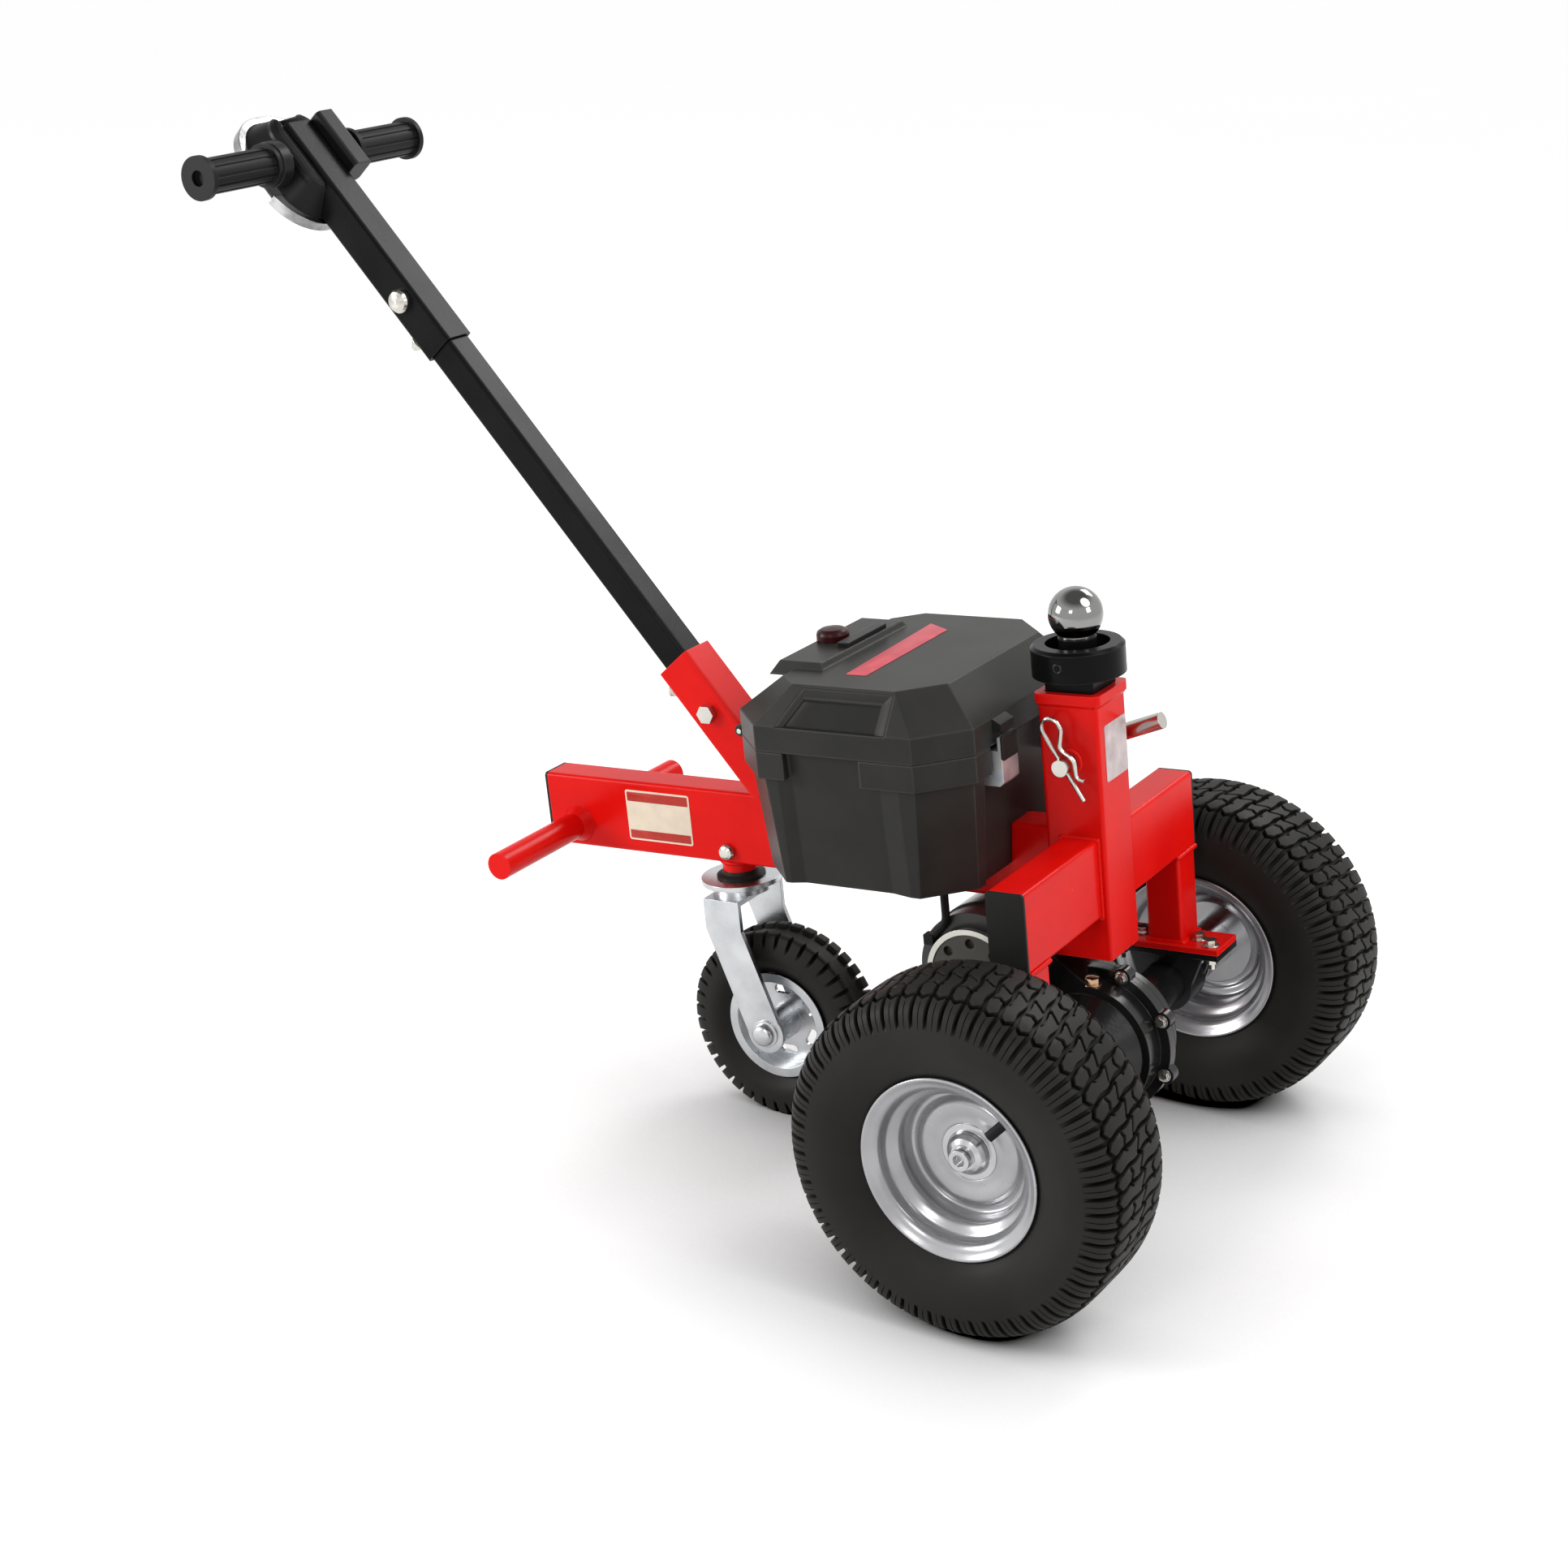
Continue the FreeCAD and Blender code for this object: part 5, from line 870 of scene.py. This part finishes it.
# %% [markdown]
# ## Screws, studs and nuts
#
# A hexagon head has a turned washer face, six flats and a chamfered top. A nut also shows the
# end of its stud. The profiles below are the same for every size: `scaled` only stretches them.

# %% Screws, studs and nuts
HEX_HEAD = [(1.25, 0.0, 0.0), (1.25, 0.16, 0.0), (0.98, 0.20, 0.0), (1.0, 0.24, 1.0),
            (1.0, 0.80, 1.0), (0.92, 0.88, 0.5), (0.80, 0.92, 0.0), (0.30, 0.93, 0.0)]
STUD_NUT = [(1.30, 0.0, 0.0), (1.30, 0.18, 0.0), (1.0, 0.20, 1.0), (1.0, 0.95, 1.0),
            (0.86, 1.04, 0.2), (0.55, 1.05, 0.0), (0.52, 1.60, 0.0), (0.44, 1.72, 0.0),
            (0.14, 1.74, 0.0)]
GRUB_SCREW = [(4.6, -1.0, 0.0), (4.6, 0.2, 0.0), (4.1, 0.6, 0.0), (3.3, 0.55, 0.0),
              (3.1, 0.0, 0.0), (2.0, -0.1, 1.0), (1.9, -1.5, 1.0)]


def scaled(profile, radius, start=0.0):
    return [(r * radius, start + h * radius, flat) for r, h, flat in profile]


finishes["nut_brass"] = finish("nut_brass", ((0.36, 0.22, 0.13), (0.56, 0.38, 0.24)),
                               drift=120.0, rough=(0.16, 0.3), metallic=1.0, bump=0.05,
                               edge=0.0004)
turned("grub_screw", "chassis", "black_castings", [(1.5, -43.4, 378)], (0, -1, 0), GRUB_SCREW)

HANDLE_FOOT = Vector((-335, 0, TUBE_TOP))
RISE = math.radians(51.5)
UP_HANDLE = Vector((-math.cos(RISE), 0, math.sin(RISE)))
UNDER_HANDLE = Vector((-math.sin(RISE), 0, -math.cos(RISE)))


def on_handle(station, under, side=0.0):
    """A place at a station along the handle, so far under its middle and so far to the left."""
    return tuple(HANDLE_FOOT + UP_HANDLE * station + UNDER_HANDLE * under + Vector((0, side, 0)))


WASHER = [(1.0, 0.0, 0.0), (1.0, 0.12, 0.0), (0.93, 0.18, 0.0), (0.6, 0.18, 0.0)]
EAR_RADIUS, EAR_COUNT, EAR_FACE = 72.0, 8, 5.9
GEAR_SCREW, HANDLE_STUD, BASE_WASHER, GEAR_PLUG = 5.2, 6.6, 8.6, 7.6      # radius of each
ear_turns = [math.radians(22.5 + 360 / EAR_COUNT * k) for k in range(EAR_COUNT)]
ears = [(EAR_RADIUS * math.cos(a), EAR_RADIUS * math.sin(a)) for a in ear_turns]
turned("handle_studs", "chassis", "zinc_steel", [on_handle(594, 27.0), on_handle(150, 30.0)],
       UNDER_HANDLE, scaled(STUD_NUT, HANDLE_STUD))
turned("gear_screws", "chassis", "zinc_steel", [(x, -EAR_FACE, z) for x, z in ears], (0, -1, 0),
       scaled(HEX_HEAD, GEAR_SCREW))
turned("gear_nuts", "chassis", "zinc_steel", [(x, EAR_FACE, z) for x, z in ears], (0, 1, 0),
       scaled(STUD_NUT, GEAR_SCREW))
base_bolts = [(x, side * y, LEG_FOOT)
              for x, y in ((52.5, 141.5), (34.5, 153.5), (-44.5, 141.5), (-26.5, 153.5))
              for side in (1, -1)]
turned("bracket_washers", "chassis", "zinc_steel", base_bolts, (0, 0, 1),
       scaled(WASHER, BASE_WASHER))
DRUM = 64.0
plug_turns = [math.radians(86), math.radians(117)]
for index, a in enumerate(plug_turns):
    out = (math.cos(a), 0, math.sin(a))
    turned(f"gear_plug_{index + 1}", "chassis", "zinc_steel",
           [((DRUM - 0.4) * out[0], -21, (DRUM - 0.4) * out[2])], out, scaled(HEX_HEAD, GEAR_PLUG),
           stuff="nut_brass")
rib_paths = []
for k in range(EAR_COUNT):
    a = math.radians(360 / EAR_COUNT * k)
    for side in (1, -1):
        rib_paths.append([(r * math.cos(a), side * y, r * math.sin(a))
                          for r, y in ((55.5, 12.0), (44.5, 36.0), (32.0, 62.5))])
swept("gear_ribs", "chassis", "black_castings", rib_paths, 3.4, step=6.0)
turned("axle_cap", "caster", "zinc_fork", [(-360, -42, -33)], (0, -1, 0),
       [(14.5, 0.0, 0.0), (14.5, 1.6, 0.0), (11.9, 2.0, 0.0), (11.7, 5.6, 0.0), (10.6, 7.8, 0.0),
        (8.4, 9.2, 0.0), (5.0, 10.2, 0.0), (1.0, 10.5, 0.0)], sides=32)
turned("pin_bush", "chassis", "red_paint", [(1.5, -29.9, 286)], (0, -1, 0),
       [(13.0, 0.0, 0.0), (13.0, 1.5, 0.0), (12.0, 2.4, 0.0), (8.6, 2.4, 0.0), (8.3, 0.6, 0.0)],
       sides=32)
turned("caster_seal", "chassis", "black_cap_plastic", [(CASTER_PIN_X, 0, 121.0)], (0, 0, 1),
       [(25.0, 0.0, 0.0), (25.0, 2.0, 0.0), (23.0, 3.2, 0.0), (19.5, 4.2, 0.0), (18.4, 7.6, 0.0),
        (17.0, 7.8, 0.0)], sides=40)

# %% [markdown]
# ## Rims
#
# The drive rims are pressed from sheet, so nothing about them is sharp. The edge is rolled over
# into a lip, the bead seat slopes in behind it, the barrel steps down to its well and the disc
# ends in a ring groove. One closed section is turned round the axle: along the outer face from
# the hub to the lip, back under the tyre, and along the inner face to the hub again.

# %% Rims
RIM_OUTER = [(27.2, 8.0), (33.0, 8.2), (40.0, 9.6), (46.0, 9.8), (49.6, 8.2), (52.6, 5.0),
             (55.5, 4.0), (58.6, 4.6), (60.4, 7.5), (60.9, 12.0), (61.2, 19.0), (62.4, 23.6),
             (66.5, 27.0),
             (70.8, 29.8), (72.4, 33.0), (72.8, 37.0), (73.8, 40.6), (76.6, 43.4), (80.4, 45.4),
             (83.6, 47.4), (85.4, 48.4), (86.9, 48.0), (87.2, 46.6), (86.0, 45.6)]
RIM_UNDER = [(82.6, 44.6), (78.8, 43.0), (76.2, 40.0), (75.8, 32.0), (72.0, 28.4), (66.0, 24.4),
             (64.0, 21.0), (64.0, 0.0), (64.0, -21.0), (66.0, -24.4), (72.0, -28.4), (75.8, -32.0),
             (76.2, -40.0), (78.8, -43.0), (82.6, -44.6), (86.0, -45.6)]
RIM_INNER = [(87.2, -46.6), (86.9, -48.0), (85.4, -48.4), (83.6, -47.4), (80.4, -45.4),
             (76.6, -43.4), (73.8, -40.6), (72.8, -37.0), (72.4, -33.0), (70.8, -29.8),
             (66.5, -27.0), (62.4, -23.6),
             (61.2, -19.0), (61.0, -8.0), (60.6, -1.0), (57.5, 0.9), (53.6, 1.6), (50.0, 4.4),
             (44.0, 5.0), (35.0, 5.0), (27.2, 5.0)]


def ringed(name, body, slot, centre, section, sides=96, rounding=3):
    """A closed section of (radius, offset) in mm turned round a sideways axis."""
    ends = section[-1:] + section + section[:2]
    smooth = []
    for k in range(len(section)):
        smooth += between(ends[k:k + 4], rounding)
    places, faces = [], []
    for k in range(sides):
        angle = 2 * math.pi * k / sides
        for radius, offset in smooth:
            places.append(centre + Vector((radius * math.cos(angle), offset,
                                           radius * math.sin(angle))) / 1000)
    count = len(smooth)
    for k in range(sides):
        low, high = k * count, (k + 1) % sides * count
        for n in range(count):
            m = (n + 1) % count
            faces.append((low + n, low + m, high + m, high + n))
    return keep(name, body, slot, places, faces, smooth=60)


for hand, sign in (("left", 1), ("right", -1)):
    section = [(r, sign * y) for r, y in RIM_OUTER + RIM_UNDER + RIM_INNER]
    if sign < 0:
        section.reverse()
    rim = ringed("rim_pressed_" + hand, "wheel_" + hand, "rim_silver", middle("rim_" + hand),
                 section)
    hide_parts("rim_" + hand)

# %% [markdown]
# ## The hollows in the lid
#
# Each side slope of the lid has a shallow hollow. Its upper and front borders are wide and
# sloping, like the sides of a tray, because a moulded part has to slide out of its mould. The
# insert below fills those borders: each is a ramp from the slope's surface to the hollow's floor.

# %% Ramps in the lid's hollows
SLOPE_FOOT, SLOPE_RISE = Vector((0, -147, 335.6)), Vector((0, 22, 36))
SLOPE_OUT = Vector((0, -36, 22)).normalized()
HOLLOW_LIP, HOLLOW_DEPTH, HOLLOW_BACK = 0.15, 3.4, 3.44     # below the slope
HOLLOW = [(-240.6, 0.01), (-123.4, 0.01), (-121.4, 0.935), (-217.6, 0.935)]
HOLLOW_FLOOR = [(-232.0, 0.03), (-136.0, 0.03), (-134.0, 0.66), (-216.0, 0.66)]
for hand, sign in (("left", 1), ("right", -1)):
    def on_slope(x, share, depth):
        spot = SLOPE_FOOT + SLOPE_RISE * share - SLOPE_OUT * depth
        return at(x, -sign * spot.y, spot.z)

    rings = [[on_slope(x, share, HOLLOW_LIP) for x, share in HOLLOW],
             [on_slope(x, share, HOLLOW_DEPTH) for x, share in HOLLOW_FLOOR],
             [on_slope(x, share, HOLLOW_BACK) for x, share in HOLLOW]]
    places = [spot for ring in rings for spot in ring]
    faces = []
    for k in range(4):
        n = (k + 1) % 4
        faces += [(k, n, 4 + n, 4 + k), (8 + k, 8 + n, n, k)]
    faces += [(4, 5, 6, 7), (11, 10, 9, 8)]
    if sign > 0:
        faces = [face[::-1] for face in faces]
    keep("lid_hollow_" + hand, "lid", "case_plastic", places, faces, smooth=15)

# %% [markdown]
# ## Latches and the ball's neck
#
# Each latch has a black cover over the upper half of its lever, where a thumb pulls it, and the
# zinc plate below it is bluish and a little dull. A thin turned sleeve in black paint covers the
# chrome of the ball's neck and seat.

# %% Latch covers and neck sleeve
finishes["latch_zinc"] = finish("latch_zinc", ((0.50, 0.55, 0.60), (0.72, 0.73, 0.70)), drift=60.0,
                                rough=(0.34, 0.5), metallic=0.8, bump=0.06, edge=0.0008)
for index in range(len(nodes["latches"].material_slots)):
    nodes["latches"].material_slots[index].material = finishes["latch_zinc"]
LATCH_MIDDLE, LATCH_HALF, LATCH_FACE = 58, 15.6, -45.0


def cushion(name, body, slot, low, high, round_off, bulge):
    """A plate facing forward with rounded corners, a chamfered edge and a bulging face."""
    (x0, y0, z0), (x1, y1, z1) = low, high
    ring = []
    for cy, cz, start in ((y1 - round_off, z1 - round_off, 0), (y0 + round_off, z1 - round_off, 1),
                          (y0 + round_off, z0 + round_off, 2), (y1 - round_off, z0 + round_off, 3)):
        for step in range(5):
            angle = math.pi / 2 * (start + step / 4)
            ring.append((cy + round_off * math.cos(angle), cz + round_off * math.sin(angle)))
    cy, cz = (y0 + y1) / 2, (z0 + z1) / 2
    levels = ((x0, 1.0), (x1 - 0.8, 1.0), (x1 - 0.2, 0.97), (x1, 0.92), (x1 + bulge, 0.5))
    places = [at(x, cy + (y - cy) * share, cz + (z - cz) * share)
              for x, share in levels for y, z in ring]
    return keep(name, body, slot, places, stack(0, len(levels), len(ring)), smooth=40)


for hand, sign in (("left", 1), ("right", -1)):
    cushion("latch_cover_" + hand, "chassis", "black_cap_plastic",
            (LATCH_FACE - 0.5, sign * LATCH_MIDDLE - LATCH_HALF, 296),
            (LATCH_FACE + 2.2, sign * LATCH_MIDDLE + LATCH_HALF, 319.5), 3.0, 0.5)
turned("ball_sleeve", "chassis", "black_paint", [(1.5, 0, 371.6)], (0, 0, 1),
       [(27.8, 0.0, 0.0), (27.8, 1.4, 0.0), (26.6, 2.4, 0.0), (20.6, 3.6, 0.0), (18.4, 6.0, 0.0),
        (17.7, 10.0, 0.0), (17.7, 25.0, 0.0), (16.4, 26.6, 0.0)], sides=48)
